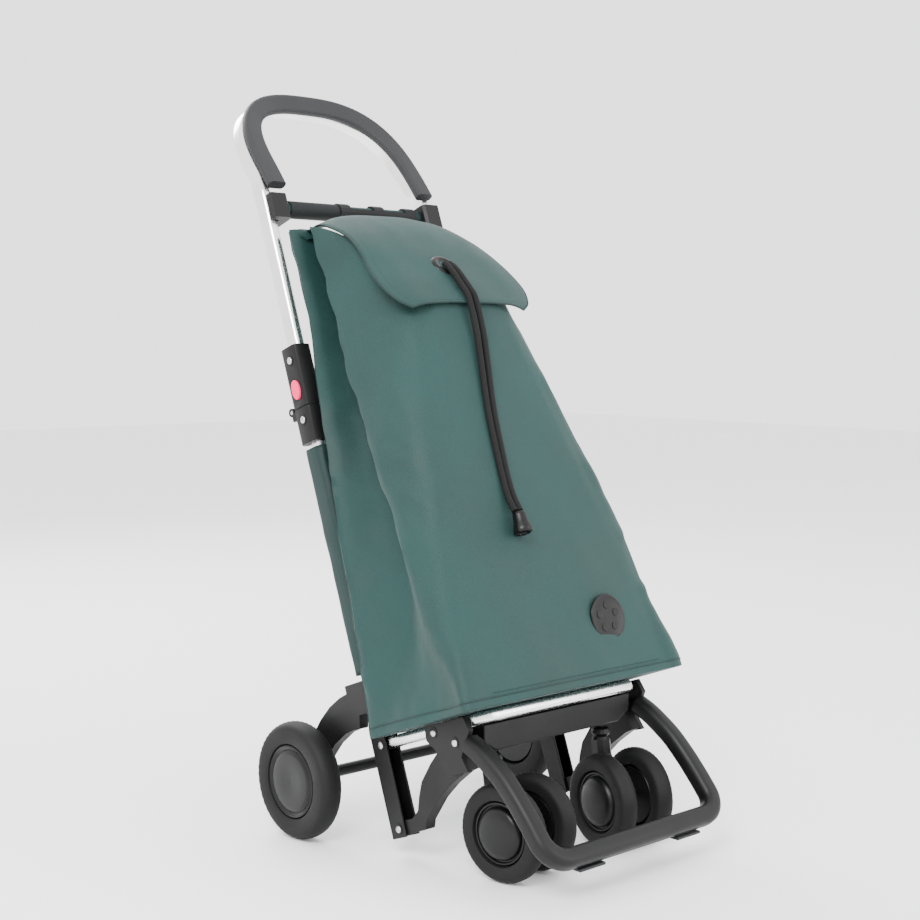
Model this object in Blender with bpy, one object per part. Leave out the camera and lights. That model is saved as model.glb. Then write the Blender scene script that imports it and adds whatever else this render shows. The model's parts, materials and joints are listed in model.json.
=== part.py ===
"""Four-wheeled folding shopping trolley with a fabric bag.

Units are metres, +Z is up, the front of the trolley faces -Y and +X is to the right.
Most parts are drawn in the leaning frame of the posts: x across, depth (positive behind
the posts) and height (measured along the posts from the rivet at the foot of the legs).
"""
import math

import bmesh
import bpy
from mathutils import Matrix, Vector

# ---- overall ----------------------------------------------------------------
LEAN = math.radians(20.35)          # how far the posts lean back
FOOT_RIVET_Z = 0.0385               # height of the foot rivet above the floor
CENTRE_SHIFT_Y = -0.07975            # puts the origin under the middle of the whole trolley
GAP = 0.0003                        # clearance between touching parts
SIDES = (("left", -1), ("right", 1))

# ---- posts and legs ------------------------------------------------------------
POST_X = 0.155                      # middle of each post
POST_WIDTH = 0.018
POST_DEPTH = 0.026
POST_WALL = 0.002
POST_BOTTOM = 0.1245                # the post stands on the base tube inside the leg channel
CHANNEL_WALL = 0.003
CHANNEL_BOTTOM = -0.012
CHANNEL_TOP = 0.1365

# ---- mid hinge -------------------------------------------------------------------
HINGE_HEIGHT = 0.600                # seam between the two hinge halves
HINGE_DEPTH = 0.0255                # hinge pin, behind the posts
HINGE_BACK = 0.019
HINGE_FRONT = -0.017
HINGE_INNER = 0.0125                # housing wall inside the post
HINGE_OUTER = 0.0170                # housing wall outside the post
SOCKET_BOTTOM = 0.548
HEAD_TOP = 0.690
KNUCKLE_RADIUS = 0.0062
PIN_RADIUS = 0.0030
BUTTON_HEIGHT = 0.626
BUTTON_HALF = (0.0085, 0.0145)      # half depth and half height of the oval button
BUTTON_INNER = 0.0142
BUTTON_OUTER = 0.0205
BUTTON_POCKET = 0.0108

# ---- handle ------------------------------------------------------------------------
BEND_HEIGHT = 0.928                 # the posts bend further back above the crossbar
BEND_SLOPE = 0.38
BOW_START = 0.955                   # the handle bow springs from here
BOW_RISE = 0.148
BOW_HALF = 0.148
BOW_POWER = 2.8                     # superellipse power of the bow
GRIP_WIDTH = 0.030
GRIP_DEPTH = 0.015
GRIP_BOTTOM = 0.925
CROSSBAR_HEIGHT = 0.902
CROSSBAR_DEPTH = -0.004
CROSSBAR_RADIUS = 0.011
TAB_PLACES = (-0.020, 0.045, 0.108)
TAB_HALF = 0.010

# ---- rear axle ---------------------------------------------------------------------
REAR_AXLE_Y = 0.162
REAR_RADIUS = 0.0825
REAR_WHEEL_X = 0.212
REAR_TYRE_WIDTH = 0.034
AXLE_RADIUS = 0.0085

# ---- base and front loop -----------------------------------------------------------
BASE_HEIGHT = 0.1150
BASE_ARM_X = POST_X
BASE_FRONT = -0.194
BASE_CORNER = 0.035
BASE_WIDTH = 0.015
BASE_THICK = 0.017
LOOP_X = 0.1625
LOOP_SECTION = (0.026, 0.026)
LOOP_CORNER = 0.032
LOOP_DROP = 0.0021                  # the bar is turned in its bow, so its edge hangs lower
CARRIER_HALF = 0.140
CARRIER_LOW = 0.165
CARRIER_HIGH = 0.2020
CARRIER_FRONT = -0.140
CARRIER_BACK = -0.098

# ---- castors ---------------------------------------------------------------------
CASTOR_RADIUS = 0.0655
CASTOR_X = 0.105
CASTOR_Y = -0.118
CASTOR_TRAIL = 0.047
CASTOR_WHEEL_OFFSET = 0.0315
CASTOR_TYRE_WIDTH = 0.027
STEM_RADIUS = 0.006
STEM_TOP = 0.190
CASTOR_TURN = {"left": math.radians(7.0), "right": math.radians(-9.0)}

# ---- bag ---------------------------------------------------------------------------
CLOTH = 0.004                       # bag wall
BAG_BACK = -0.0230                  # front face of the back wall
BAG_FLOOR = 0.1239                  # underside of the floor board
BOARD_INSET = 0.016                 # the floor board keeps this clear of the walls
BOARD_RISE = 0.003
BAG_WIDE = 0.208
BAG_NARROWING = 0.2271              # how fast the front wall narrows upwards
BAG_BOW = 1.364
BAG_FRONT_LOW = -0.2430
BAG_FRONT_SLOPE = 0.0754
BAG_MOUTH_DEPTH = -0.2000
BAG_MOUTH_BACK = 0.858
BAG_MOUTH_FRONT = 0.675
FLAP_CLOTH = 0.003
BADGE_RADIUS = 0.0325
BADGE_X = 0.079
BADGE_HEIGHT = 0.2104
CORD_RADIUS = 0.0045


def look(name, colour, roughness, metallic=0.0):
    """Return a Principled material with the given finish."""
    material = bpy.data.materials.get(name) or bpy.data.materials.new(name)
    material.use_nodes = True
    shader = material.node_tree.nodes["Principled BSDF"]
    shader.inputs["Base Color"].default_value = (*colour, 1.0)
    shader.inputs["Roughness"].default_value = roughness
    shader.inputs["Metallic"].default_value = metallic
    return material


FINISHES = {
    "aluminium": ((0.80, 0.80, 0.79), 0.28, 1.0),
    "black_plastic": ((0.020, 0.020, 0.022), 0.45),
    "hub_plastic": ((0.016, 0.016, 0.018), 0.30),
    "tyre": ((0.022, 0.022, 0.023), 0.75),
    "grip": ((0.095, 0.100, 0.105), 0.60),
    "button": ((0.85, 0.02, 0.12), 0.35),
    "cloth": ((0.085, 0.190, 0.170), 0.80),
    "cord": ((0.012, 0.012, 0.013), 0.85),
    "steel": ((0.60, 0.60, 0.60), 0.30, 1.0),
}


def finish_object(bm, name, finish, parent, location=(0.0, 0.0, 0.0), smooth=True):
    """Turn a bmesh into a named object with its material, under a parent."""
    bmesh.ops.recalc_face_normals(bm, faces=bm.faces)
    mesh = bpy.data.meshes.new(name)
    bm.to_mesh(mesh)
    bm.free()
    if smooth:
        mesh.shade_smooth()
        mesh.set_sharp_from_angle(angle=math.radians(35))
    mesh.materials.append(look(finish, *FINISHES[finish]))
    item = bpy.data.objects.new(name, mesh)
    bpy.context.scene.collection.objects.link(item)
    item.parent = parent
    item.location = location
    return item


def empty(name, parent=None, location=(0.0, 0.0, 0.0), rotation=(0.0, 0.0, 0.0)):
    """Add an empty that carries parts or marks a joint's axis."""
    item = bpy.data.objects.new(name, None)
    bpy.context.scene.collection.objects.link(item)
    item.parent = parent
    item.location = location
    item.rotation_euler = rotation
    return item


# ---- shape helpers -----------------------------------------------------------------
def add_rings(bm, rings, closed=False):
    """Skin a list of equal rings of points; cap both ends unless the rings close up."""
    loops = [[bm.verts.new(point) for point in ring] for ring in rings]
    count = len(loops[0])
    pairs = list(zip(loops, loops[1:]))
    if closed:
        pairs.append((loops[-1], loops[0]))
    for first, second in pairs:
        for index in range(count):
            after = (index + 1) % count
            bm.faces.new((first[index], first[after], second[after], second[index]))
    if not closed:
        bm.faces.new(list(reversed(loops[0])))
        bm.faces.new(loops[-1])


def add_box(bm, low, high):
    """Add a cuboid between two corners."""
    corners = [(low[0], low[1]), (high[0], low[1]), (high[0], high[1]), (low[0], high[1])]
    add_rings(bm, [[(x, y, z) for x, y in corners] for z in (low[2], high[2])])


def add_extrusion(bm, outline, low_x, high_x):
    """Extrude an outline of (depth, height) points along x."""
    add_rings(bm, [[(x, depth, height) for depth, height in outline] for x in (low_x, high_x)])


def arc(centre, radius, start, end, steps):
    """Points on an arc in a plane, angles in degrees."""
    angles = [math.radians(start + (end - start) * step / steps) for step in range(steps + 1)]
    return [(centre[0] + radius * math.cos(a), centre[1] + radius * math.sin(a)) for a in angles]


def rounded_section(width, depth, radius, steps=2):
    """A rounded rectangle, counter-clockwise."""
    half_w = width / 2 - radius
    half_d = depth / 2 - radius
    points = []
    for sign_x, sign_y, start in ((1, 1, 0), (-1, 1, 90), (-1, -1, 180), (1, -1, 270)):
        points += arc((sign_x * half_w, sign_y * half_d), radius, start, start + 90, steps)
    return points


def fillet(points, radius, steps):
    """Replace each inner corner of a route by an arc of the given radius."""
    route = [Vector(points[0])]
    for before, corner, after in zip(points, points[1:], points[2:]):
        corner = Vector(corner)
        into = (corner - Vector(before)).normalized()
        out = (Vector(after) - corner).normalized()
        turn = into.angle(out)
        reach = radius * math.tan(turn / 2)
        start = corner - into * reach
        inward = (out - into * into.dot(out)).normalized()
        centre = start + inward * radius
        for step in range(steps + 1):
            angle = turn * step / steps
            route.append(centre - inward * radius * math.cos(angle) + into * radius * math.sin(angle))
    route.append(Vector(points[-1]))
    return route


def sweep_rings(route, section, side, back=None):
    """Carry a section along a route; side is the first ring's x direction.

    Given back, every ring's y direction keeps facing it, so a long bend can't twist.
    """
    rings = []
    across = Vector(side)
    for index, point in enumerate(route):
        before = route[max(index - 1, 0)]
        after = route[min(index + 1, len(route) - 1)]
        along = (after - before).normalized()
        if back:
            across = back.cross(along)
        across = (across - along * across.dot(along)).normalized()
        up = along.cross(across)
        stretch = 1.0
        if 0 < index < len(route) - 1:
            stretch = 1.0 / max(0.5, (point - before).normalized().dot(along))
        bend = (after - point).normalized() - (point - before).normalized() if stretch > 1.0 else Vector()
        bend = bend.normalized() if bend.length > 1e-9 else Vector()
        ring = []
        for a, b in section:
            offset = across * a + up * b
            ring.append(point + offset + bend * offset.dot(bend) * (stretch - 1.0))
        rings.append(ring)
    return rings


def add_tube(bm, route, section, inner, side, back=None):
    """Sweep a hollow tube that is open at both ends."""
    outer_rings = sweep_rings(route, section, side, back)
    inner_rings = sweep_rings(route, inner, side, back)
    outer = [[bm.verts.new(p) for p in ring] for ring in outer_rings]
    lining = [[bm.verts.new(p) for p in ring] for ring in inner_rings]
    count = len(section)
    for rings in (outer, lining):
        for first, second in zip(rings, rings[1:]):
            for index in range(count):
                after = (index + 1) % count
                bm.faces.new((first[index], first[after], second[after], second[index]))
    for end in (0, -1):
        for index in range(count):
            after = (index + 1) % count
            bm.faces.new((outer[end][index], outer[end][after], lining[end][after], lining[end][index]))


def add_lathe(bm, profile, segments, centre=(0.0, 0.0, 0.0), axis_turn=None):
    """Spin a closed (x, radius) outline about the x axis; points at radius 0 meet on the axis."""
    turn = axis_turn or Matrix.Identity(3)
    centre = Vector(centre)
    rings = []
    for step in range(segments):
        angle = 2 * math.pi * step / segments
        spoke = Vector((0.0, -math.sin(angle), -math.cos(angle)))
        rings.append([centre + turn @ (Vector((x, 0.0, 0.0)) + spoke * r) for x, r in profile])
    add_rings(bm, rings, closed=True)
    bmesh.ops.remove_doubles(bm, verts=bm.verts, dist=1e-6)
    flat = [face for face in bm.faces if face.calc_area() < 1e-12]
    bmesh.ops.delete(bm, geom=flat, context="FACES_ONLY")


def add_rod(bm, start, end, radius, segments):
    """Add a closed cylinder between two points."""
    start = Vector(start)
    along = Vector(end) - start
    turn = Vector((0.0, 0.0, 1.0)).rotation_difference(along).to_matrix()
    circle = arc((0.0, 0.0), radius, 0, 360, segments)[:-1]
    rings = [[start + turn @ Vector((a, b, reach)) for a, b in circle] for reach in (0.0, along.length)]
    add_rings(bm, rings)


def boolean(target, tool, operation):
    """Cut or join with another object, which stays as a hidden guide."""
    tool.hide_render = True
    tool.display_type = "WIRE"
    modifier = target.modifiers.new(operation.lower(), "BOOLEAN")
    modifier.operation = operation
    modifier.object = tool
    modifier.solver = "EXACT"


# ---- frame ---------------------------------------------------------------------------
def post_sections(wall=POST_WALL):
    """Outer and inner outline of the post tube."""
    outer = rounded_section(POST_WIDTH, POST_DEPTH, 0.005, 2)
    inner = rounded_section(POST_WIDTH - 2 * wall, POST_DEPTH - 2 * wall, 0.003, 2)
    return outer, inner


def build_lower_posts(lean):
    """Straight aluminium tubes from the legs up into the hinge sockets."""
    outer, inner = post_sections()
    for side, sign in SIDES:
        bm = bmesh.new()
        route = [Vector((sign * POST_X, 0, POST_BOTTOM)), Vector((sign * POST_X, 0, HINGE_HEIGHT - 0.003))]
        add_tube(bm, route, outer, inner, (1, 0, 0))
        finish_object(bm, f"lower_post_{side}", "aluminium", lean)


def build_leg_channels(lean):
    """U channels, open to the front, that carry the posts down to the foot."""
    inner_x = POST_WIDTH / 2 + GAP
    outer_x = inner_x + CHANNEL_WALL
    back = POST_DEPTH / 2 + GAP
    front = -POST_DEPTH / 2 - 0.001
    for side, sign in SIDES:
        outline = [(-outer_x, front), (-inner_x, front), (-inner_x, back), (inner_x, back),
                   (inner_x, front), (outer_x, front), (outer_x, back + CHANNEL_WALL),
                   (-outer_x, back + CHANNEL_WALL)]
        bm = bmesh.new()
        rings = [[(sign * POST_X + x, d, height) for x, d in outline]
                 for height in (CHANNEL_BOTTOM, CHANNEL_TOP)]
        add_rings(bm, rings)
        finish_object(bm, f"leg_channel_{side}", "black_plastic", lean, smooth=False)


def hinge_block(parent, offset, name, sign, low, high):
    """Half of the hinge housing: a rounded block around the post with a hole for it."""
    inner, outer = sorted((sign * (POST_X - HINGE_INNER), sign * (POST_X + HINGE_OUTER)))
    middle = Vector(((inner + outer) / 2, (HINGE_BACK + HINGE_FRONT) / 2, 0))
    section = rounded_section(outer - inner, HINGE_BACK - HINGE_FRONT, 0.006, 2)
    bm = bmesh.new()
    add_rings(bm, [[middle + Vector((a, b, height)) for a, b in section] for height in (low, high)])
    block = finish_object(bm, name, "black_plastic", parent, offset)
    hole = bmesh.new()
    half_w = POST_WIDTH / 2 + GAP
    half_d = POST_DEPTH / 2 + GAP
    add_box(hole, (sign * POST_X - half_w, -half_d, low - 0.01),
            (sign * POST_X + half_w, half_d, high + 0.01))
    boolean(block, finish_object(hole, f"cut_{name}", "steel", parent, offset, smooth=False), "DIFFERENCE")
    return block


def add_knuckle(parent, offset, block, name, sign, lobes, web_low, web_high):
    """Join hinge lobes and their webs to a housing, then bore them for the pin."""
    for index, (low, high) in enumerate(lobes):
        near, far = sorted((sign * (POST_X + low), sign * (POST_X + high)))
        tab = bmesh.new()
        circle = arc((HINGE_DEPTH, HINGE_HEIGHT), KNUCKLE_RADIUS, 0, 360, 16)[:-1]
        add_extrusion(tab, circle, near, far)
        tool = finish_object(tab, f"tab_{name}_{index}", "steel", parent, offset, smooth=False)
        boolean(block, tool, "UNION")
        web = bmesh.new()
        add_box(web, (near, HINGE_BACK - 0.002, web_low), (far, HINGE_DEPTH, web_high))
        tool = finish_object(web, f"web_{name}_{index}", "steel", parent, offset, smooth=False)
        boolean(block, tool, "UNION")
    bore = bmesh.new()
    start, end = sorted((sign * (POST_X - 0.03), sign * (POST_X + 0.03)))
    circle = arc((HINGE_DEPTH, HINGE_HEIGHT), PIN_RADIUS + GAP, 0, 360, 12)[:-1]
    add_extrusion(bore, circle, start, end)
    boolean(block, finish_object(bore, f"bore_{name}", "steel", parent, offset, smooth=False), "DIFFERENCE")


def build_hinges(lean, handle_axis, offset):
    """Mid-post hinges: socket below, head above, a pin behind and a release button."""
    here = (0.0, 0.0, 0.0)
    outer_lobes = ((-0.0115, -0.0045), (0.0085, 0.0155))
    middle_lobe = ((-0.0041, 0.0081),)
    for side, sign in SIDES:
        socket = hinge_block(lean, here, f"hinge_socket_{side}", sign, SOCKET_BOTTOM, HINGE_HEIGHT - 0.0005)
        add_knuckle(lean, here, socket, f"socket_{side}", sign, outer_lobes,
                    HINGE_HEIGHT - 0.014, HINGE_HEIGHT - 0.002)
        head = hinge_block(handle_axis, offset, f"hinge_head_{side}", sign, HINGE_HEIGHT + 0.0005, HEAD_TOP)
        add_knuckle(handle_axis, offset, head, f"head_{side}", sign, middle_lobe,
                    HINGE_HEIGHT + 0.002, HINGE_HEIGHT + 0.014)
        pocket = bmesh.new()
        add_button_shape(pocket, sign, BUTTON_POCKET, HINGE_OUTER + 0.01, GAP * 2)
        boolean(head, finish_object(pocket, f"pocket_{side}", "steel", handle_axis, offset, smooth=False),
                "DIFFERENCE")
        place = (sign * POST_X, -HINGE_DEPTH, BUTTON_HEIGHT - HINGE_HEIGHT)
        slide = empty(f"button_{side}_axis", handle_axis, place)
        button = bmesh.new()
        add_button_shape(button, sign, BUTTON_INNER, BUTTON_OUTER, 0.0)
        finish_object(button, f"button_{side}", "button", slide, (-sign * POST_X, 0.0, -BUTTON_HEIGHT))


def add_button_shape(bm, sign, inner, outer, grow):
    """An oval prism along x at the button's place."""
    half_d, half_h = (half + grow for half in BUTTON_HALF)
    outline = [(half_d * math.cos(math.radians(a)), BUTTON_HEIGHT + half_h * math.sin(math.radians(a)))
               for a in range(0, 360, 20)]
    near, far = sorted((sign * (POST_X + inner), sign * (POST_X + outer)))
    add_extrusion(bm, outline, near, far)


def build_hinge_pins(lean):
    """One steel pin through the knuckles of each hinge."""
    for side, sign in SIDES:
        bm = bmesh.new()
        start, end = sorted((sign * (POST_X - 0.0110), sign * (POST_X + 0.0150)))
        add_extrusion(bm, arc((HINGE_DEPTH, HINGE_HEIGHT), PIN_RADIUS, 0, 360, 12)[:-1], start, end)
        finish_object(bm, f"hinge_pin_{side}", "steel", lean)


def build_rear_arms(trolley, lean):
    """Curved blades from collars round the posts back and down to the rear axle."""
    near_x = POST_X + POST_WIDTH / 2 + 0.004
    far_x = near_x + 0.016
    outer = [(0.062, 0.2255), (0.082, 0.217), (0.108, 0.203), (0.130, 0.1865), (0.150, 0.165), (0.165, 0.144),
             (0.175, 0.120)]
    inner = [(0.143, 0.098), (0.136, 0.113), (0.117, 0.136), (0.092, 0.156), (0.075, 0.164), (0.062, 0.168)]
    boss = arc((REAR_AXLE_Y, REAR_RADIUS), 0.0165, 40, -190, 10)
    collar_low = 0.160
    collar_high = 0.205
    for side, sign in SIDES:
        bm = bmesh.new()
        near, far = sorted((sign * near_x, sign * far_x))
        add_extrusion(bm, outer + boss + inner, near, far)
        arm = finish_object(bm, f"rear_arm_{side}", "black_plastic", trolley, smooth=False)
        collar = bmesh.new()
        inside = sign * (POST_X - POST_WIDTH / 2 - 0.003)
        low_x, high_x = sorted((inside, sign * far_x))
        add_box(collar, (low_x, -POST_DEPTH / 2 - 0.003, collar_low), (high_x, 0.026, collar_high))
        boolean(arm, finish_object(collar, f"collar_{side}", "steel", lean, smooth=False), "UNION")
        hole = bmesh.new()
        half_w = POST_WIDTH / 2 + GAP
        half_d = POST_DEPTH / 2 + GAP
        add_box(hole, (sign * POST_X - half_w, -half_d, 0.1), (sign * POST_X + half_w, half_d, 0.3))
        boolean(arm, finish_object(hole, f"hole_arm_{side}", "steel", lean, smooth=False), "DIFFERENCE")
        bore = bmesh.new()
        circle = arc((REAR_AXLE_Y, REAR_RADIUS), AXLE_RADIUS + GAP, 0, 360, 16)[:-1]
        add_extrusion(bore, circle, near - 0.01, far + 0.01)
        boolean(arm, finish_object(bore, f"bore_arm_{side}", "steel", trolley, smooth=False), "DIFFERENCE")


def build_axle(trolley):
    """Axle tube across the back, with journals that carry the rear wheels."""
    reach = REAR_WHEEL_X + REAR_TYRE_WIDTH / 2 - 0.008
    journal = 0.0050
    shoulder = REAR_WHEEL_X - REAR_TYRE_WIDTH / 2 - 0.001
    profile = [(-reach, 0.0), (-reach, journal), (-shoulder, journal), (-shoulder, AXLE_RADIUS),
               (shoulder, AXLE_RADIUS), (shoulder, journal), (reach, journal), (reach, 0.0)]
    bm = bmesh.new()
    add_lathe(bm, profile, 16, (0.0, REAR_AXLE_Y, REAR_RADIUS))
    finish_object(bm, "axle_tube", "black_plastic", trolley)


def build_base_tube(lean):
    """Aluminium U tube that carries the bag; its arms end at the leg rivets."""
    route = fillet([(-BASE_ARM_X, 0.010, BASE_HEIGHT), (-BASE_ARM_X, BASE_FRONT, BASE_HEIGHT),
                    (BASE_ARM_X, BASE_FRONT, BASE_HEIGHT), (BASE_ARM_X, 0.010, BASE_HEIGHT)],
                   BASE_CORNER, 6)
    outer = rounded_section(BASE_WIDTH, BASE_THICK, 0.005, 2)
    inner = rounded_section(BASE_WIDTH - 0.004, BASE_THICK - 0.004, 0.003, 2)
    bm = bmesh.new()
    add_tube(bm, route, outer, inner, (1, 0, 0))
    finish_object(bm, "base_tube", "aluminium", lean)


def build_side_brackets(lean):
    """Moulded plates riveted outside the base tube, each with a curved stay to its foot."""
    plate_in = BASE_ARM_X + BASE_WIDTH / 2 + GAP
    plate_out = plate_in + 0.008
    plate = [(-0.106, 0.1232), (-0.186, 0.1215), (-0.1919, 0.1022), (-0.1655, 0.0728), (-0.172, 0.0515),
             (-0.157, 0.0525), (-0.130, 0.0520), (-0.1174, 0.0893), (-0.104, 0.1040)]
    stay = [(0.009, -0.0105), (-0.0525, -0.0082), (-0.0585, 0.0024), (-0.0931, 0.0269), (-0.125, 0.0420),
            (-0.157, 0.0525), (-0.170, 0.0540), (-0.1655, 0.0728), (-0.162, 0.1000), (-0.118, 0.1010),
            (-0.1174, 0.0893), (-0.092, 0.0740), (-0.0659, 0.0540), (-0.0540, 0.0360), (-0.0451, 0.0181),
            (-0.030, 0.0100), (0.009, 0.0100)]
    for side, sign in SIDES:
        bm = bmesh.new()
        near, far = sorted((sign * plate_in, sign * plate_out))
        add_extrusion(bm, plate, near, far)
        bracket = finish_object(bm, f"side_bracket_{side}", "black_plastic", lean, smooth=False)
        blade = bmesh.new()
        near, far = sorted((sign * (POST_X - 0.0085), sign * (POST_X + 0.0085)))
        add_extrusion(blade, stay, near, far)
        boolean(bracket, finish_object(blade, f"stay_{side}", "steel", lean, smooth=False), "UNION")


def build_front_loop(trolley):
    """Black tube bow in front of the castors, and the two pads under it."""
    half = [(LOOP_X, -0.138, 0.182), (LOOP_X, -0.156, 0.1745), (LOOP_X, -0.174, 0.1645), (LOOP_X, -0.201, 0.1465),
            (LOOP_X, -0.227, 0.123), (LOOP_X, -0.250, 0.099), (LOOP_X, -0.285, 0.0585)]
    corner = Vector(half[-1])
    route = fillet([(-LOOP_X, *half[-2][1:]), (-corner.x, *corner[1:]), corner, half[-2]], LOOP_CORNER, 7)
    left = [Vector((-x, y, z)) for x, y, z in half[:-2]]
    right = [Vector(point) for point in reversed(half[:-2])]
    bm = bmesh.new()
    section = rounded_section(LOOP_SECTION[0], LOOP_SECTION[1], 0.008, 2)
    add_rings(bm, sweep_rings(left + route + right, section, (1, 0, 0)))
    finish_object(bm, "front_loop", "black_plastic", trolley)
    under = corner.z - LOOP_SECTION[1] / 2 - LOOP_DROP - GAP
    for side, sign in SIDES:
        pad = bmesh.new()
        near, far = sorted((sign * 0.070, sign * 0.117))
        add_box(pad, (near, corner.y - 0.007, under - 0.004), (far, corner.y + 0.007, under))
        finish_object(pad, f"loop_pad_{side}", "grip", trolley, smooth=False)


def build_carrier(trolley):
    """Box crossmember under the front of the base that holds the castor stems."""
    chamfer = 0.022
    step = CARRIER_LOW + 0.014
    outline = [(-CARRIER_HALF + chamfer, CARRIER_LOW), (CARRIER_HALF - chamfer, CARRIER_LOW),
               (CARRIER_HALF, step), (CARRIER_HALF, CARRIER_HIGH), (-CARRIER_HALF, CARRIER_HIGH),
               (-CARRIER_HALF, step)]
    bm = bmesh.new()
    add_rings(bm, [[(x, y, z) for x, z in outline] for y in (CARRIER_FRONT, CARRIER_BACK)])
    carrier = finish_object(bm, "castor_carrier", "black_plastic", trolley, smooth=False)
    for side, sign in SIDES:
        bore = bmesh.new()
        place = sign * CASTOR_X
        add_rod(bore, (place, CASTOR_Y, CARRIER_LOW - 0.01), (place, CASTOR_Y, STEM_TOP + GAP),
                STEM_RADIUS + GAP, 14)
        tool = finish_object(bore, f"bore_stem_{side}", "steel", trolley, smooth=False)
        boolean(carrier, tool, "DIFFERENCE")


# ---- handle --------------------------------------------------------------------------
HANDLE_BACK = Vector((0.0, 1.0, 0.0))


def bent(x, height, depth=0.0):
    """A point on the handle, bent back above the crossbar."""
    return Vector((x, depth + BEND_SLOPE * max(0.0, height - BEND_HEIGHT), height))


def bow_point(half, rise, angle):
    """A point on the superellipse that the handle's bow follows, angle from the side."""
    power = 2.0 / BOW_POWER
    turn = math.radians(angle)
    return bent(half * math.cos(turn) ** power, BOW_START + rise * math.sin(turn) ** power)


def mirrored(route):
    """Add the left half of a route that is given from the right side to the middle."""
    return route + [Vector((-point.x, point.y, point.z)) for point in reversed(route[:-1])]


def handle_route():
    """Middle line of the handle tube: straight, a slight bend back, then the bow."""
    right = [bent(POST_X, HINGE_HEIGHT + 0.0035), bent(POST_X, BEND_HEIGHT - 0.004),
             bent(POST_X, BEND_HEIGHT + 0.003)]
    right += [bow_point(BOW_HALF, BOW_RISE, angle) for angle in range(0, 81, 10)]
    return mirrored(right + [bent(0.0, BOW_START + BOW_RISE)])


def build_handle_tube(axis, offset):
    """Aluminium U tube from one hinge head, over the top and down to the other."""
    outer, inner = post_sections()
    bm = bmesh.new()
    add_tube(bm, handle_route(), outer, inner, (1, 0, 0), HANDLE_BACK)
    finish_object(bm, "handle_tube", "aluminium", axis, offset)


def build_grip(axis, offset):
    """Soft grey grip that lies on the front of the handle's bow."""
    half = BOW_HALF - 0.007
    rise = BOW_RISE - 0.007
    lift = POST_DEPTH / 2 + GAP + GRIP_DEPTH / 2 + 0.0004
    right = [bent(half, GRIP_BOTTOM)]
    right += [bow_point(half, rise, angle) for angle in range(0, 81, 10)]
    right += [bent(0.0, BOW_START + rise)]
    away = Vector((0.0, -1.0, BEND_SLOPE)).normalized() * lift
    route = [point + away for point in mirrored(right)]
    bm = bmesh.new()
    section = rounded_section(GRIP_WIDTH, GRIP_DEPTH, 0.006, 2)
    add_rings(bm, sweep_rings(route, section, (1, 0, 0), HANDLE_BACK))
    finish_object(bm, "grip", "grip", axis, offset)


def build_crossbar(axis, offset):
    """Bar that the bag hangs from, its two end clamps and the three strap tabs."""
    clamp_inner = POST_X - POST_WIDTH / 2 - 0.016
    bar_end = POST_X - POST_WIDTH / 2 - 0.002
    bm = bmesh.new()
    add_rod(bm, (-bar_end, CROSSBAR_DEPTH, CROSSBAR_HEIGHT), (bar_end, CROSSBAR_DEPTH, CROSSBAR_HEIGHT),
            CROSSBAR_RADIUS, 14)
    finish_object(bm, "crossbar", "aluminium", axis, offset)
    for side, sign in SIDES:
        build_clamp(axis, offset, side, sign, clamp_inner)
    build_strap_tabs(axis, offset)


def build_clamp(axis, offset, side, sign, clamp_inner):
    """Clamp on the inside and front of a post; the post's outer side stays bare."""
    half_depth = POST_DEPTH / 2 + GAP
    low = CROSSBAR_HEIGHT - 0.022
    high = CROSSBAR_HEIGHT + 0.016
    inner_face = POST_X - POST_WIDTH / 2 - GAP
    front_edge = POST_X + POST_WIDTH / 2 - 0.004
    outline = [(clamp_inner, -0.022), (clamp_inner + 0.004, -0.026), (front_edge, -0.026),
               (front_edge, -half_depth), (inner_face, -half_depth), (inner_face, 0.014),
               (clamp_inner + 0.003, 0.014), (clamp_inner, 0.011)]
    bm = bmesh.new()
    add_rings(bm, [[(sign * x, d, h) for x, d in outline] for h in (low, high)])
    clamp = finish_object(bm, f"crossbar_clamp_{side}", "black_plastic", axis, offset, smooth=False)
    bore = bmesh.new()
    near, far = sorted((sign * (clamp_inner - 0.01), sign * (inner_face + 0.02)))
    add_rod(bore, (near, CROSSBAR_DEPTH, CROSSBAR_HEIGHT), (far, CROSSBAR_DEPTH, CROSSBAR_HEIGHT),
            CROSSBAR_RADIUS + GAP, 14)
    tool = finish_object(bore, f"bore_clamp_{side}", "steel", axis, offset, smooth=False)
    boolean(clamp, tool, "DIFFERENCE")


def build_strap_tabs(axis, offset):
    """Webbing hem with three tabs that hook the bag's back over the crossbar."""
    bm = bmesh.new()
    ring_in = CROSSBAR_RADIUS + 2 * GAP
    ring_out = ring_in + 0.003
    outer = arc((CROSSBAR_DEPTH, CROSSBAR_HEIGHT), ring_out, 30, 215, 8)
    inner = arc((CROSSBAR_DEPTH, CROSSBAR_HEIGHT), ring_in, 215, 30, 8)
    add_extrusion(bm, outer + inner, TAB_PLACES[0] - TAB_HALF, TAB_PLACES[-1] + TAB_HALF)
    tabs = finish_object(bm, "strap_tabs", "black_plastic", axis, offset, smooth=False)
    low = CROSSBAR_HEIGHT + CROSSBAR_RADIUS * 0.2
    for index, (first, second) in enumerate(zip(TAB_PLACES, TAB_PLACES[1:])):
        cut = bmesh.new()
        add_box(cut, (first + TAB_HALF, -0.05, low), (second - TAB_HALF, 0.05, CROSSBAR_HEIGHT + 0.05))
        tool = finish_object(cut, f"tab_gap_{index}", "steel", axis, offset, smooth=False)
        boolean(tabs, tool, "DIFFERENCE")


# ---- bag -----------------------------------------------------------------------------
def mix(first, second, share):
    return first + (second - first) * share


def bag_half_width(height):
    """Half width of the front wall: widest at the floor, narrow at the mouth."""
    return BAG_WIDE - BAG_NARROWING * max(0.0, height - BAG_FLOOR) ** BAG_BOW


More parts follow.
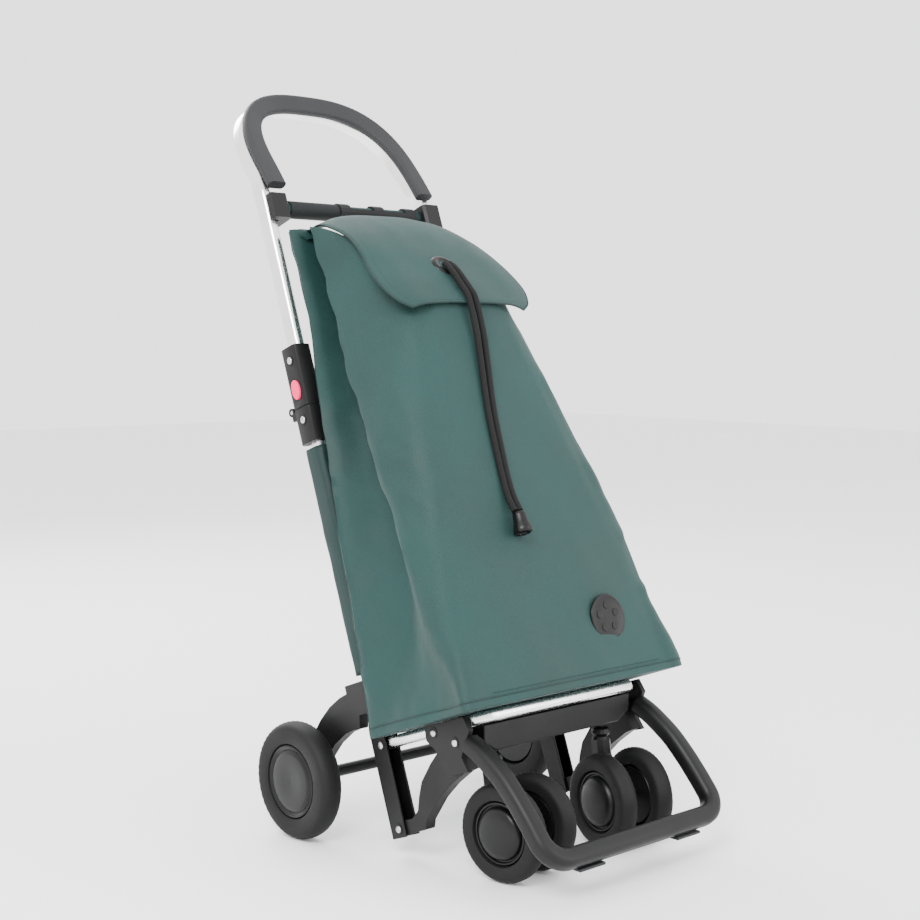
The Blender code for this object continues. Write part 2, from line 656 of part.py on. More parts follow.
def bag_back_half(height):
    """Half width of the back wall."""
    return mix(0.196, 0.140, min(1.0, (height - BAG_FLOOR) / 0.60))


def bag_front_depth(height):
    """The front wall stands further forward towards the floor."""
    return BAG_FRONT_LOW + BAG_FRONT_SLOPE * (height - BAG_FLOOR)


def mouth_height(depth):
    """The mouth falls from the back wall to the front wall."""
    share = (depth - BAG_BACK) / (BAG_MOUTH_DEPTH - BAG_BACK)
    return mix(BAG_MOUTH_BACK, BAG_MOUTH_FRONT, min(1.0, max(0.0, share)) ** 1.3)


def wall_line(part, height, inset):
    """Points of one wall's outline at a height, moved inwards by inset."""
    half = bag_half_width(height) - inset
    front = bag_front_depth(height) + inset
    if part == "front":
        return [(-half, front), (half, front)]
    sign = -1 if part == "left" else 1
    back = BAG_BACK - GAP
    rear = bag_back_half(height) - inset
    start = front - inset + CLOTH + GAP
    return [(sign * mix(rear, half, step / 4), mix(back, start, step / 4)) for step in range(5)]


def build_bag_wall(name, part, low, high, parent, offset):
    """A wall between two heights, as a thin closed slab."""
    rows = 4
    bm = bmesh.new()
    grids = []
    for inset in (0.0, CLOTH):
        grid = []
        for row in range(rows + 1):
            tops = [min(high, mouth_height(d)) for _, d in wall_line(part, high, inset)]
            line = []
            for index, top in enumerate(tops):
                height = mix(low, top, row / rows)
                x, depth = wall_line(part, height, inset)[index]
                line.append((x, depth, height))
            grid.append(line)
        grids.append(grid)
    rings = [outer + list(reversed(inner)) for outer, inner in zip(*grids)]
    add_rings(bm, rings)
    finish_object(bm, name, "cloth", parent, offset)


def build_bag(lean, axis, offset):
    """Fabric bag: the walls above the hinge line fold away with the handle."""
    floor_top = BAG_FLOOR + CLOTH
    halves = (("lower", floor_top + GAP, HINGE_HEIGHT - GAP, lean, (0, 0, 0)),
              ("upper", HINGE_HEIGHT + GAP, BAG_MOUTH_BACK, axis, offset))
    for half, low, high, parent, place in halves:
        for part in ("front", "left", "right"):
            top = min(high, BAG_MOUTH_FRONT) if part == "front" else high
            build_bag_wall(f"bag_{part}_{half}", part, low, top, parent, place)
        back = BAG_BACK + CLOTH
        rings = [[(-w, BAG_BACK, h), (w, BAG_BACK, h), (w, back, h), (-w, back, h)]
                 for w, h in ((bag_back_half(low), low), (bag_back_half(high), high))]
        bm = bmesh.new()
        add_rings(bm, rings)
        finish_object(bm, f"bag_back_{half}", "cloth", parent, place)
    build_bag_floor(lean, floor_top)


def build_bag_floor(lean, floor_top):
    """Fabric floor under the walls, with a stiff board raised clear of them."""
    bm = bmesh.new()
    rings = []
    for inset, height in ((0.0, BAG_FLOOR), (0.0, floor_top), (BOARD_INSET, floor_top),
                          (BOARD_INSET, floor_top + BOARD_RISE)):
        rear = bag_back_half(BAG_FLOOR) - inset
        back = BAG_BACK + CLOTH - inset
        outline = wall_line("front", BAG_FLOOR, inset) + [(rear, back), (-rear, back)]
        rings.append([(x, d, height) for x, d in outline])
    add_rings(bm, rings)
    finish_object(bm, "bag_floor", "cloth", lean)


def build_badge(lean):
    """Plain round badge low on the front of the bag."""
    slope = math.atan(BAG_FRONT_SLOPE)
    circle = arc((0.0, 0.0), BADGE_RADIUS, 0, 360, 20)[:-1]
    tilt = Matrix.Rotation(-slope, 3, "X")
    place = Vector((BADGE_X, bag_front_depth(BADGE_HEIGHT) - 2 * GAP, BADGE_HEIGHT))
    bm = bmesh.new()
    rings = []
    for reach, share in ((0.0, 1.0), (-0.0022, 1.0), (-0.0034, 0.92)):
        rings.append([place + tilt @ Vector((a * share, reach, b * share)) for a, b in circle])
    add_rings(bm, rings)
    finish_object(bm, "badge", "black_plastic", lean)


# ---- flap and cord -------------------------------------------------------------------
FLAP_LINE = [(-0.024, 0.8705), (-0.048, 0.8695), (-0.072, 0.8640), (-0.100, 0.8430), (-0.128, 0.8150),
             (-0.152, 0.7800), (-0.170, 0.7480), (-0.187, 0.7180), (-0.200, 0.6930), (-0.2065, 0.6800)]
FLAP_HALVES = [0.1180, 0.1185, 0.1190, 0.1195, 0.1200, 0.1260, 0.1340, 0.1350, 0.1240, 0.1060]
GROMMET_SPAN = (6, 7)               # the grommet sits on this span of the flap's line
GROMMET_SHARE = 0.05
GROMMET_X = 0.0


def offset_line(line, distance):
    """Move a (depth, height) line sideways along its normals."""
    moved = []
    for index, point in enumerate(line):
        before = line[max(index - 1, 0)]
        after = line[min(index + 1, len(line) - 1)]
        along = Vector((after[0] - before[0], after[1] - before[1])).normalized()
        moved.append((point[0] + along.y * distance, point[1] - along.x * distance))
    return moved


def build_flap(axis, offset):
    """Flap over the mouth, with rounded corners at its free edge."""
    over = offset_line(FLAP_LINE, FLAP_CLOTH)
    bm = bmesh.new()
    rings = []
    for (ud, uh), (od, oh), half in zip(FLAP_LINE, over, FLAP_HALVES):
        rings.append([(-half, ud, uh), (half, ud, uh), (half, od, oh), (-half, od, oh)])
    add_rings(bm, rings)
    finish_object(bm, "flap", "cloth", axis, offset)


def flap_point(lift):
    """The grommet's place on the outside of the flap, and the direction out of it."""
    top, bottom = (Vector(FLAP_LINE[index]) for index in GROMMET_SPAN)
    along = (bottom - top).normalized()
    out = Vector((along.y, -along.x))
    return top.lerp(bottom, GROMMET_SHARE) + out * (FLAP_CLOTH + lift), out


def build_grommet(axis, offset):
    """Thick plastic ring set in the flap."""
    spot, out = flap_point(0.0012)
    turn = Vector((1.0, 0.0, 0.0)).rotation_difference(Vector((0.0, out.x, out.y))).to_matrix()
    profile = [(0.0, 0.0100), (0.0, 0.0210), (0.0022, 0.0200), (0.0034, 0.0160), (0.0028, 0.0112)]
    bm = bmesh.new()
    add_lathe(bm, profile, 20, (GROMMET_X, spot.x, spot.y), turn)
    finish_object(bm, "grommet", "black_plastic", axis, offset)


def smooth_route(points, steps):
    """Read a smooth curve through the route's own points."""
    route = []
    padded = [points[0] * 2 - points[1]] + points + [points[-1] * 2 - points[-2]]
    for a, b, c, d in zip(padded, padded[1:], padded[2:], padded[3:]):
        for step in range(steps):
            t = step / steps
            route.append(0.5 * (2 * b + (c - a) * t + (2 * a - 5 * b + 4 * c - d) * t * t
                                + (3 * b - a - 3 * c + d) * t * t * t))
    route.append(points[-1])
    return route


def build_cord(name, points, parent, offset):
    """A round cord along a smooth route, as a curve with filled caps."""
    curve = bpy.data.curves.new(name, "CURVE")
    curve.dimensions = "3D"
    curve.bevel_depth = CORD_RADIUS
    curve.bevel_resolution = 2
    curve.render_resolution_u = 0
    curve.use_fill_caps = True
    route = smooth_route([Vector(p) for p in points], 3)
    spline = curve.splines.new("POLY")
    spline.points.add(len(route) - 1)
    for knot, place in zip(spline.points, route):
        knot.co = (*place, 1.0)
    curve.materials.append(look("cord", *FINISHES["cord"]))
    item = bpy.data.objects.new(name, curve)
    bpy.context.scene.collection.objects.link(item)
    item.parent = parent
    item.location = offset


CORD_BEND = (-0.2147, 0.6785)       # where the cords leave the flap's free edge (depth, height)
HEAD_LINE = [(-0.1800, 0.7520), (-0.1860, 0.7455), (-0.1930, 0.7345), (-0.2005, 0.7190), (-0.2080, 0.7035),
             (-0.2130, 0.6925), (-0.2145, 0.6835)]
HEAD_ACROSS = {
    "left": (-0.0048, -0.0050, -0.0055, -0.0060, -0.0066, -0.0070, -0.0072),
    "right": (0.0048, 0.0052, 0.0056, 0.0057, 0.0055, 0.0052, 0.0050),
}
TAIL_LINE = [(-0.2149, 0.6810), (-0.2151, 0.6760), (-0.2155, 0.6600), (-0.2158, 0.6300), (-0.2166, 0.6000),
             (-0.2180, 0.5700), (-0.2197, 0.5350), (-0.2218, 0.5000), (-0.2244, 0.4600), (-0.2270, 0.4250),
             (-0.2320, 0.3940), (-0.2400, 0.3716)]
TAIL_ACROSS = {
    "left": (-0.0073, -0.0078, -0.0090, -0.0110, -0.0150, -0.0205, -0.0270, -0.0322, -0.0362, -0.0395,
             -0.0430, -0.0446),
    "right": (0.0049, 0.0047, 0.0040, 0.0020, -0.0030, -0.0090, -0.0160, -0.0216, -0.0262, -0.0300,
              -0.0330, -0.0350),
}


def cord_points(across, line):
    """Join a strand's places across with the (depth, height) line it follows."""
    return [(x, depth, height) for x, (depth, height) in zip(across, line)]


def build_toggle(parent, offset):
    """Bell-shaped cord end that holds both strands."""
    top = Vector((-0.0398, -0.2412, 0.3690))
    along = Vector((-0.0020, -0.0026, -0.0300)).normalized()
    turn = Vector((1.0, 0.0, 0.0)).rotation_difference(along).to_matrix()
    profile = [(0.0, 0.0), (0.0, 0.0095), (0.004, 0.0104), (0.014, 0.0118), (0.021, 0.0135), (0.027, 0.0145),
               (0.030, 0.0120), (0.030, 0.0)]
    bm = bmesh.new()
    add_lathe(bm, profile, 16, top, turn)
    finish_object(bm, "cord_toggle", "black_plastic", parent, offset)


# ---- wheels --------------------------------------------------------------------------
def tyre_profile(radius, width, rim):
    """Closed outline of a rounded tyre."""
    half = width / 2
    shoulder = radius - half * 0.55
    return [(-half * 0.55, rim), (-half, rim + 0.004), (-half, shoulder), (-half * 0.62, radius - 0.0022),
            (0.0, radius), (half * 0.62, radius - 0.0022), (half, shoulder), (half, rim + 0.004),
            (half * 0.55, rim)]


def build_rear_wheels(trolley):
    """Fixed rear wheels: a closed disc hub and a rounded tyre."""
    rim = REAR_RADIUS * 0.62
    for side, sign in SIDES:
        spin = empty(f"rear_wheel_{side}_axis", trolley, (sign * REAR_WHEEL_X, REAR_AXLE_Y, REAR_RADIUS))
        bm = bmesh.new()
        add_lathe(bm, tyre_profile(REAR_RADIUS, REAR_TYRE_WIDTH, rim), 36)
        finish_object(bm, f"rear_tyre_{side}", "tyre", spin)
        face = REAR_TYRE_WIDTH / 2
        back = -REAR_TYRE_WIDTH * 0.30
        bore = 0.0052
        inner = rim - GAP
        outline = [(back, bore), (back - 0.004, bore), (back - 0.004, 0.014), (back, 0.018), (back, inner - 0.004),
                   (-0.006, inner), (0.006, inner), (face - 0.005, inner - 0.004), (face - 0.005, inner - 0.009),
                   (face - 0.001, inner - 0.012), (face - 0.004, 0.012), (face - 0.004, 0.0),
                   (face - 0.0075, 0.0), (face - 0.0075, bore)]
        bm = bmesh.new()
        add_lathe(bm, [(sign * x, r) for x, r in outline], 28)
        finish_object(bm, f"rear_hub_{side}", "hub_plastic", spin)


def build_castors(trolley):
    """Twin-wheel castors that swivel about upright stems."""
    rim = CASTOR_RADIUS * 0.64
    for side, sign in SIDES:
        swivel = empty(f"castor_{side}_axis", trolley, (sign * CASTOR_X, CASTOR_Y, 0.0),
                       (0.0, 0.0, CASTOR_TURN[side]))
        build_castor_stem(swivel, side)
        for place, way in (("left", -1), ("right", 1)):
            spin = empty(f"castor_{side}_{place}_spin", swivel,
                         (way * CASTOR_WHEEL_OFFSET, -CASTOR_TRAIL, CASTOR_RADIUS))
            bm = bmesh.new()
            add_lathe(bm, tyre_profile(CASTOR_RADIUS, CASTOR_TYRE_WIDTH, rim), 32)
            finish_object(bm, f"castor_{side}_tyre_{place}", "tyre", spin)
            face = CASTOR_TYRE_WIDTH / 2
            back = -face + 0.002
            bore = 0.0042
            inner = rim - GAP
            outline = [(back, bore), (back, inner - 0.003), (-0.005, inner), (0.005, inner),
                       (face - 0.004, inner - 0.002), (face - 0.006, 0.034), (face - 0.001, 0.032),
                       (face + 0.004, 0.018), (face + 0.005, 0.0), (face - 0.006, 0.0), (face - 0.006, bore)]
            bm = bmesh.new()
            add_lathe(bm, [(way * x, r) for x, r in outline], 24)
            finish_object(bm, f"castor_{side}_hub_{place}", "hub_plastic", spin)


def build_castor_stem(swivel, side):
    """Stem, collar and the arm that holds the axle between the two wheels."""
    collar = [(0.1320, 0.0), (0.1320, 0.0100), (0.1380, 0.0125), (0.1430, 0.0100), (0.1480, 0.0140),
              (0.1540, 0.0120), (0.1570, STEM_RADIUS), (STEM_TOP, STEM_RADIUS), (STEM_TOP, 0.0)]
    bm = bmesh.new()
    upright = Vector((1.0, 0.0, 0.0)).rotation_difference(Vector((0.0, 0.0, 1.0))).to_matrix()
    add_lathe(bm, collar, 14, (0, 0, 0), upright)
    stem = finish_object(bm, f"castor_{side}_stem", "black_plastic", swivel)
    arm = bmesh.new()
    route = [Vector((0, 0.000, 0.1380)), Vector((0, -0.004, 0.1150)), Vector((0, -0.020, 0.0920)),
             Vector((0, -0.038, 0.0740)), Vector((0, -0.056, 0.0580))]
    add_rings(arm, sweep_rings(route, rounded_section(0.024, 0.026, 0.006, 1), (1, 0, 0)))
    boolean(stem, finish_object(arm, f"arm_{side}", "steel", swivel, smooth=False), "UNION")
    pin = bmesh.new()
    reach = CASTOR_WHEEL_OFFSET + CASTOR_TYRE_WIDTH / 2 - 0.0075
    centre = Vector((0, -CASTOR_TRAIL, CASTOR_RADIUS))
    add_rod(pin, centre - Vector((reach, 0, 0)), centre + Vector((reach, 0, 0)), 0.0040, 12)
    boolean(stem, finish_object(pin, f"pin_{side}", "steel", swivel, smooth=False), "UNION")


def main():
    """Clear the scene and build the trolley."""
    for item in list(bpy.data.objects):
        bpy.data.objects.remove(item, do_unlink=True)
    trolley = empty("trolley", None, (0.0, CENTRE_SHIFT_Y, 0.0))
    lean = empty("lean_frame", trolley, (0.0, 0.0, FOOT_RIVET_Z), (-LEAN, 0.0, 0.0))
    handle_axis = empty("handle_axis", lean, (0.0, HINGE_DEPTH, HINGE_HEIGHT))
    offset = (0.0, -HINGE_DEPTH, -HINGE_HEIGHT)
    build_lower_posts(lean)
    build_leg_channels(lean)
    build_hinges(lean, handle_axis, offset)
    build_hinge_pins(lean)
    build_rear_arms(trolley, lean)
    build_axle(trolley)
    build_base_tube(lean)
    build_side_brackets(lean)
    build_front_loop(trolley)
    build_carrier(trolley)
    build_handle_tube(handle_axis, offset)
    build_grip(handle_axis, offset)
    build_crossbar(handle_axis, offset)
    build_bag(lean, handle_axis, offset)
    build_badge(lean)
    rear_depth, rear_height = FLAP_LINE[0]
    flap_axis = empty("flap_axis", handle_axis, (0.0, rear_depth - HINGE_DEPTH, rear_height - HINGE_HEIGHT))
    flap_offset = (0.0, -rear_depth, -rear_height)
    build_flap(flap_axis, flap_offset)
    build_grommet(flap_axis, flap_offset)
    for side, across in HEAD_ACROSS.items():
        build_cord(f"cord_head_{side}", cord_points(across, HEAD_LINE), flap_axis, flap_offset)
    bend_place = (0.0, CORD_BEND[0] - rear_depth, CORD_BEND[1] - rear_height)
    tail_axis = empty("tail_axis", flap_axis, bend_place)
    tail_offset = (0.0, -CORD_BEND[0], -CORD_BEND[1])
    for side, across in TAIL_ACROSS.items():
        build_cord(f"cord_tail_{side}", cord_points(across, TAIL_LINE), tail_axis, tail_offset)
    build_toggle(tail_axis, tail_offset)
    build_rear_wheels(trolley)
    build_castors(trolley)
    bpy.context.view_layer.update()


main()
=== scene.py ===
import json
import math

import bmesh
import bpy
from mathutils import Matrix, Vector, noise
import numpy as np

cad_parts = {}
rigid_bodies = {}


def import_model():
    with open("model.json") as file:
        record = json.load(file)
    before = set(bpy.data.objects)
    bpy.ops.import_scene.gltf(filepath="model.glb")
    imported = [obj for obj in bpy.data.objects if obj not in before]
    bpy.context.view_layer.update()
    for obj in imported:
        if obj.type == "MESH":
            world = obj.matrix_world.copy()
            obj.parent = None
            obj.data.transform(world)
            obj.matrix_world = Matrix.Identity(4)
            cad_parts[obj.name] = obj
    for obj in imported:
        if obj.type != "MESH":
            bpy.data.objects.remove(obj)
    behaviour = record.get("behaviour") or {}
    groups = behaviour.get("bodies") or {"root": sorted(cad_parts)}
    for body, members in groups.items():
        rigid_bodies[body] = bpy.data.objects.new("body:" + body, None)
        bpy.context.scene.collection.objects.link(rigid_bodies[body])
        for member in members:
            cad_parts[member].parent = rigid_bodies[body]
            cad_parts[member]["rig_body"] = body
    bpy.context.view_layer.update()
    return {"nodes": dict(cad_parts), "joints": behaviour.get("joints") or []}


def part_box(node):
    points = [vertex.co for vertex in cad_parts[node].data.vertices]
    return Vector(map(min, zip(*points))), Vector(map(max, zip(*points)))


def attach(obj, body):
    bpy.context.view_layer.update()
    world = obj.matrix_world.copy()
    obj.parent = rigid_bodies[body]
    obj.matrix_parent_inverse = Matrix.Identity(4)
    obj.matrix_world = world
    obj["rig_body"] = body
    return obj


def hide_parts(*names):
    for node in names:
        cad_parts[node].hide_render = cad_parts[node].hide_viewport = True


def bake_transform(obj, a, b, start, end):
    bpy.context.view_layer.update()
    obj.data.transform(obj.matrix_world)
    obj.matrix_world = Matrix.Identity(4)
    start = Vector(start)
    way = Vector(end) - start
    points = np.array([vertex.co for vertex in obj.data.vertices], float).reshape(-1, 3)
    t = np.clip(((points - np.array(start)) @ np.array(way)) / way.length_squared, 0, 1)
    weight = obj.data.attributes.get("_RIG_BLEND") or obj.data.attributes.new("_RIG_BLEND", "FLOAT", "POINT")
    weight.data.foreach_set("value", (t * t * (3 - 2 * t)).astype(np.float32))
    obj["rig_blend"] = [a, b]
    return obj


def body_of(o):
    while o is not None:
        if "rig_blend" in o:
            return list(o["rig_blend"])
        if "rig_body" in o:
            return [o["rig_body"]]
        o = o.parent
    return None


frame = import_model()
NODES = frame["nodes"]
JOINTS = {joint["name"]: joint for joint in frame["joints"]}

# ---- the leaning frame of the posts: x across, depth behind the posts, height along them ----
LEAN = math.radians(20.35)
FOOT_RIVET_Z = 0.0385               # height of the leg's lowest rivet, where the leaning frame starts
CENTRE_SHIFT_Y = -0.07975           # puts the origin under the middle of the whole trolley
POST_X = 0.155                      # middle of each post
POST_SECTION = (0.018, 0.026)       # across and through
CLEARANCE = 0.0003                  # gap between parts that fit together
CROSSBAR_DEPTH = -0.004
CROSSBAR_HEIGHT = 0.902
SIDES = (("left", -1), ("right", 1))
HINGE_HEIGHT = 0.600
BLEND_LOW = 0.575                   # the bag bends between these two heights
BLEND_HIGH = 0.660


def world(x, depth, height):
    """A point of the leaning frame in the shared frame."""
    return Vector((x, depth * math.cos(LEAN) + height * math.sin(LEAN) + CENTRE_SHIFT_Y,
                   FOOT_RIVET_Z - depth * math.sin(LEAN) + height * math.cos(LEAN)))


def mix(first, second, share):
    return first + (second - first) * share


def table(rows, value):
    """Read a list of (value, result) rows at a value, with straight lines between."""
    if value <= rows[0][0]:
        return rows[0][1]
    for (low, first), (high, second) in zip(rows, rows[1:]):
        if value <= high:
            return mix(first, second, (value - low) / (high - low))
    return rows[-1][1]


# ---- camera ------------------------------------------------------------------------------
CAMERA_PLACE = (-1.540, -1.6373 + CENTRE_SHIFT_Y, 0.7064)
CAMERA_YAW = math.radians(44.50)
CAMERA_PITCH = math.radians(-4.73)
CAMERA_ROLL = math.radians(-0.41)
CAMERA_LENS = 63.1
CAMERA_SHIFT = (-0.0712, 0.0083)


def add_camera():
    """Camera low at the front left corner, looking slightly down."""
    data = bpy.data.cameras.new("camera")
    data.sensor_width = 36.0
    data.lens = CAMERA_LENS
    data.shift_x, data.shift_y = CAMERA_SHIFT
    camera = bpy.data.objects.new("camera", data)
    bpy.context.scene.collection.objects.link(camera)
    look = Matrix.Rotation(-CAMERA_YAW, 4, "Z") @ Matrix.Rotation(math.radians(90) + CAMERA_PITCH, 4, "X")
    roll = Matrix.Rotation(-CAMERA_ROLL, 4, "Z")
    camera.matrix_world = Matrix.Translation(CAMERA_PLACE) @ look @ roll
    bpy.context.scene.camera = camera


# ---- materials ---------------------------------------------------------------------------
MATT_SPECULAR = 0.22                # cloth, rubber and moulded plastic reflect little of the studio


class Graph:
    """Small helper that adds shader nodes and links them."""

    def __init__(self, name, colour, roughness, metallic=0.0):
        self.material = bpy.data.materials.new(name)
        self.material.use_nodes = True
        self.nodes = self.material.node_tree.nodes
        self.links = self.material.node_tree.links
        self.shader = self.nodes["Principled BSDF"]
        self.shader.inputs["Base Color"].default_value = (*colour, 1.0)
        self.shader.inputs["Roughness"].default_value = roughness
        self.shader.inputs["Metallic"].default_value = metallic
        if not metallic:
            self.shader.inputs["Specular IOR Level"].default_value = MATT_SPECULAR

    def add(self, kind, inputs=None, **settings):
        node = self.nodes.new(kind)
        for key, value in settings.items():
            setattr(node, key, value)
        for key, value in (inputs or {}).items():
            if isinstance(value, bpy.types.NodeSocket):
                self.links.new(value, node.inputs[key])
            else:
                node.inputs[key].default_value = value
        return node

    def noise(self, scale, detail=3.0, vector=None):
        inputs = {"Scale": scale, "Detail": detail}
        if vector:
            inputs["Vector"] = vector
        return self.add("ShaderNodeTexNoise", inputs).outputs["Fac"]

    def coords(self):
        return self.add("ShaderNodeTexCoord").outputs["Object"]

    def ramp_value(self, source, low, high, source_low=0.35, source_high=0.65):
        inputs = {"Value": source, "From Min": source_low, "From Max": source_high,
                  "To Min": low, "To Max": high}
        return self.add("ShaderNodeMapRange", inputs).outputs["Result"]

    def ramp_colour(self, source, low, high, source_low=0.3, source_high=0.7):
        ramp = self.add("ShaderNodeValToRGB", {"Fac": source})
        ramp.color_ramp.elements[0].position = source_low
        ramp.color_ramp.elements[0].color = (*low, 1.0)
        ramp.color_ramp.elements[1].position = source_high
        ramp.color_ramp.elements[1].color = (*high, 1.0)
        return ramp.outputs["Color"]

    def into(self, socket, source):
        self.links.new(source, self.shader.inputs[socket])

    def bump(self, height, distance, strength=1.0):
        node = self.add("ShaderNodeBump", {"Height": height, "Distance": distance, "Strength": strength})
        self.into("Normal", node.outputs["Normal"])


def shade(colour, factor):
    return tuple(channel * factor for channel in colour)


def grained(name, colour, roughness, grain_scale, grain_depth, variation=0.15):
    """Moulded plastic or rubber: fine grain, slight change of colour and gloss."""
    graph = Graph(name, colour, roughness)
    where = graph.coords()
    broad = graph.noise(14.0, 4.0, where)
    darker = shade(colour, 1 - variation)
    lighter = shade(colour, 1 + variation)
    graph.into("Base Color", graph.ramp_colour(broad, darker, lighter))
    graph.into("Roughness", graph.ramp_value(broad, roughness - 0.06, roughness + 0.06))
    graph.bump(graph.noise(grain_scale, 2.0, where), grain_depth)
    return graph.material


def make_aluminium():
    """Bright drawn aluminium with faint scuffs."""
    graph = Graph("aluminium", (0.86, 0.86, 0.85), 0.20, 1.0)
    where = graph.coords()
    mapping = graph.add("ShaderNodeMapping", {"Vector": where, "Scale": (1.0, 0.35, 0.06)})
    lines = graph.noise(900.0, 2.0, mapping.outputs["Vector"])
    graph.into("Roughness", graph.ramp_value(lines, 0.15, 0.30))
    scuffs = graph.noise(20.0, 3.0, where)
    graph.into("Base Color", graph.ramp_colour(scuffs, (0.80, 0.80, 0.79), (0.90, 0.90, 0.89)))
    graph.bump(lines, 0.00004)
    return graph.material


def make_cloth(name, colour):
    """Woven polyester: a fine plain weave from two crossed waves, with softer patches."""
    graph = Graph(name, colour, 0.62)
    spread = graph.add("ShaderNodeUVMap").outputs["UV"]
    waves = []
    for direction in ("X", "Y"):
        wave = graph.add("ShaderNodeTexWave", {"Vector": spread, "Scale": 300.0, "Distortion": 0.6,
                                               "Detail": 1.0, "Detail Scale": 2.0},
                         wave_type="BANDS", bands_direction=direction, wave_profile="SIN")
        waves.append(wave.outputs["Fac"])
    weave = graph.add("ShaderNodeMath", {0: waves[0], 1: waves[1]}, operation="MULTIPLY").outputs["Value"]
    where = graph.coords()
    patches = graph.noise(9.0, 5.0, where)
    threads = graph.noise(700.0, 2.0, where)
    tint = graph.add("ShaderNodeMath", {0: patches, 1: threads}, operation="ADD").outputs["Value"]
    tone = graph.add("ShaderNodeMath", {0: tint, 1: 0.5}, operation="MULTIPLY").outputs["Value"]
    darker = shade(colour, 0.82)
    lighter = shade(colour, 1.18)
    graph.into("Base Color", graph.ramp_colour(tone, darker, lighter, 0.40, 0.60))
    graph.into("Roughness", graph.ramp_value(patches, 0.52, 0.70))
    graph.bump(weave, 0.00018, 0.6)
    graph.shader.inputs["Sheen Weight"].default_value = 0.04
    graph.shader.inputs["Sheen Roughness"].default_value = 0.45
    graph.shader.inputs["Sheen Tint"].default_value = (0.75, 0.95, 0.92, 1.0)
    return graph.material


def make_cord():
    """Braided black cord: crossed slanted bands."""
    graph = Graph("braided_cord", (0.012, 0.012, 0.013), 0.85)
    spread = graph.add("ShaderNodeUVMap").outputs["UV"]
    bands = []
    for slant in (1.0, -1.0):
        rotation = (0.0, 0.0, slant * math.radians(35))
        turned = graph.add("ShaderNodeMapping", {"Vector": spread, "Rotation": rotation})
        wave = graph.add("ShaderNodeTexWave", {"Vector": turned.outputs["Vector"], "Scale": 110.0},
                         wave_type="BANDS", bands_direction="X")
        bands.append(wave.outputs["Fac"])
    braid = graph.add("ShaderNodeMath", {0: bands[0], 1: bands[1]}, operation="MAXIMUM").outputs["Value"]
    graph.into("Base Color", graph.ramp_colour(braid, (0.0020, 0.0020, 0.0021), (0.0070, 0.0070, 0.0074)))
    graph.bump(braid, 0.0006)
    return graph.material


TEAL = (0.0090, 0.0330, 0.0305)
MATERIALS = {
    "aluminium": make_aluminium(),
    "black_plastic": grained("black_plastic", (0.0040, 0.0040, 0.0042), 0.46, 1400.0, 0.00008),
    "hub_plastic": grained("hub_plastic", (0.0034, 0.0034, 0.0036), 0.32, 900.0, 0.00003),
    "tyre": grained("tyre_rubber", (0.0044, 0.0044, 0.0046), 0.66, 1100.0, 0.00010),
    "grip": grained("soft_grip", (0.0190, 0.0200, 0.0215), 0.58, 1700.0, 0.00008),
    "button": grained("button_plastic", (0.86, 0.025, 0.13), 0.34, 800.0, 0.00002, 0.05),
    "cloth": make_cloth("bag_cloth", TEAL),
    "trim": make_cloth("bag_trim", shade(TEAL, 0.62)),
    "cord": make_cord(),
    "webbing": make_cloth("black_webbing", (0.0040, 0.0040, 0.0044)),
    "steel": grained("zinc_steel", (0.55, 0.55, 0.54), 0.30, 500.0, 0.00003),
    "label": grained("label_cloth", (0.0085, 0.0100, 0.0105), 0.70, 900.0, 0.00006),
}
MATERIALS["steel"].node_tree.nodes["Principled BSDF"].inputs["Metallic"].default_value = 1.0


# ---- mesh helpers ------------------------------------------------------------------------
def make_piece(name, verts, faces, material, body, uvs=None, smooth_angle=50.0):
    """A mesh object with its material, riding on a body; uvs holds one pair per vertex."""
    mesh = bpy.data.meshes.new(name)
    mesh.from_pydata([tuple(v) for v in verts], [], faces)
    if uvs:
        layer = mesh.uv_layers.new(name="UVMap")
        for loop in mesh.loops:
            layer.data[loop.index].uv = uvs[loop.vertex_index]
    mesh.validate()
    bm = bmesh.new()
    bm.from_mesh(mesh)
    bmesh.ops.recalc_face_normals(bm, faces=bm.faces)
    bm.to_mesh(mesh)
    bm.free()
    mesh.shade_smooth()
    mesh.set_sharp_from_angle(angle=math.radians(smooth_angle))
    mesh.materials.append(MATERIALS[material])
    item = bpy.data.objects.new(name, mesh)
    bpy.context.scene.collection.objects.link(item)
    if body:
        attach(item, body)
    return item


def ring_faces(rows, count, closed_rows=False, capped=True):
    """Faces of a skin over rows of count points that close round."""
    faces = []
    spans = rows if closed_rows else rows - 1
    for row in range(spans):
        base = row * count
        upper = ((row + 1) % rows) * count
        for index in range(count):
            after = (index + 1) % count
            faces.append((base + index, base + after, upper + after, upper + index))
    if capped and not closed_rows:
        faces.append(tuple(reversed(range(count))))
        faces.append(tuple(range((rows - 1) * count, rows * count)))
    return faces


def rounded_section(width, depth, radius, steps):
    """A rounded rectangle of (across, through) points."""
    points = []
    for sign_x, sign_y, start in ((1, 1, 0), (-1, 1, 90), (-1, -1, 180), (1, -1, 270)):
        for step in range(steps + 1):
            angle = math.radians(start + 90.0 * step / steps)
            points.append((sign_x * (width / 2 - radius) + radius * math.cos(angle),
                           sign_y * (depth / 2 - radius) + radius * math.sin(angle)))
    return points


def smooth_route(points, steps):
    """A smooth curve through given points."""
    points = [Vector(p) for p in points]
    padded = [points[0] * 2 - points[1]] + points + [points[-1] * 2 - points[-2]]
    route = []
    for a, b, c, d in zip(padded, padded[1:], padded[2:], padded[3:]):
        for step in range(steps):
            t = step / steps
            route.append(0.5 * (2 * b + (c - a) * t + (2 * a - 5 * b + 4 * c - d) * t * t
                                + (3 * b - a - 3 * c + d) * t * t * t))
    route.append(points[-1])
    return route


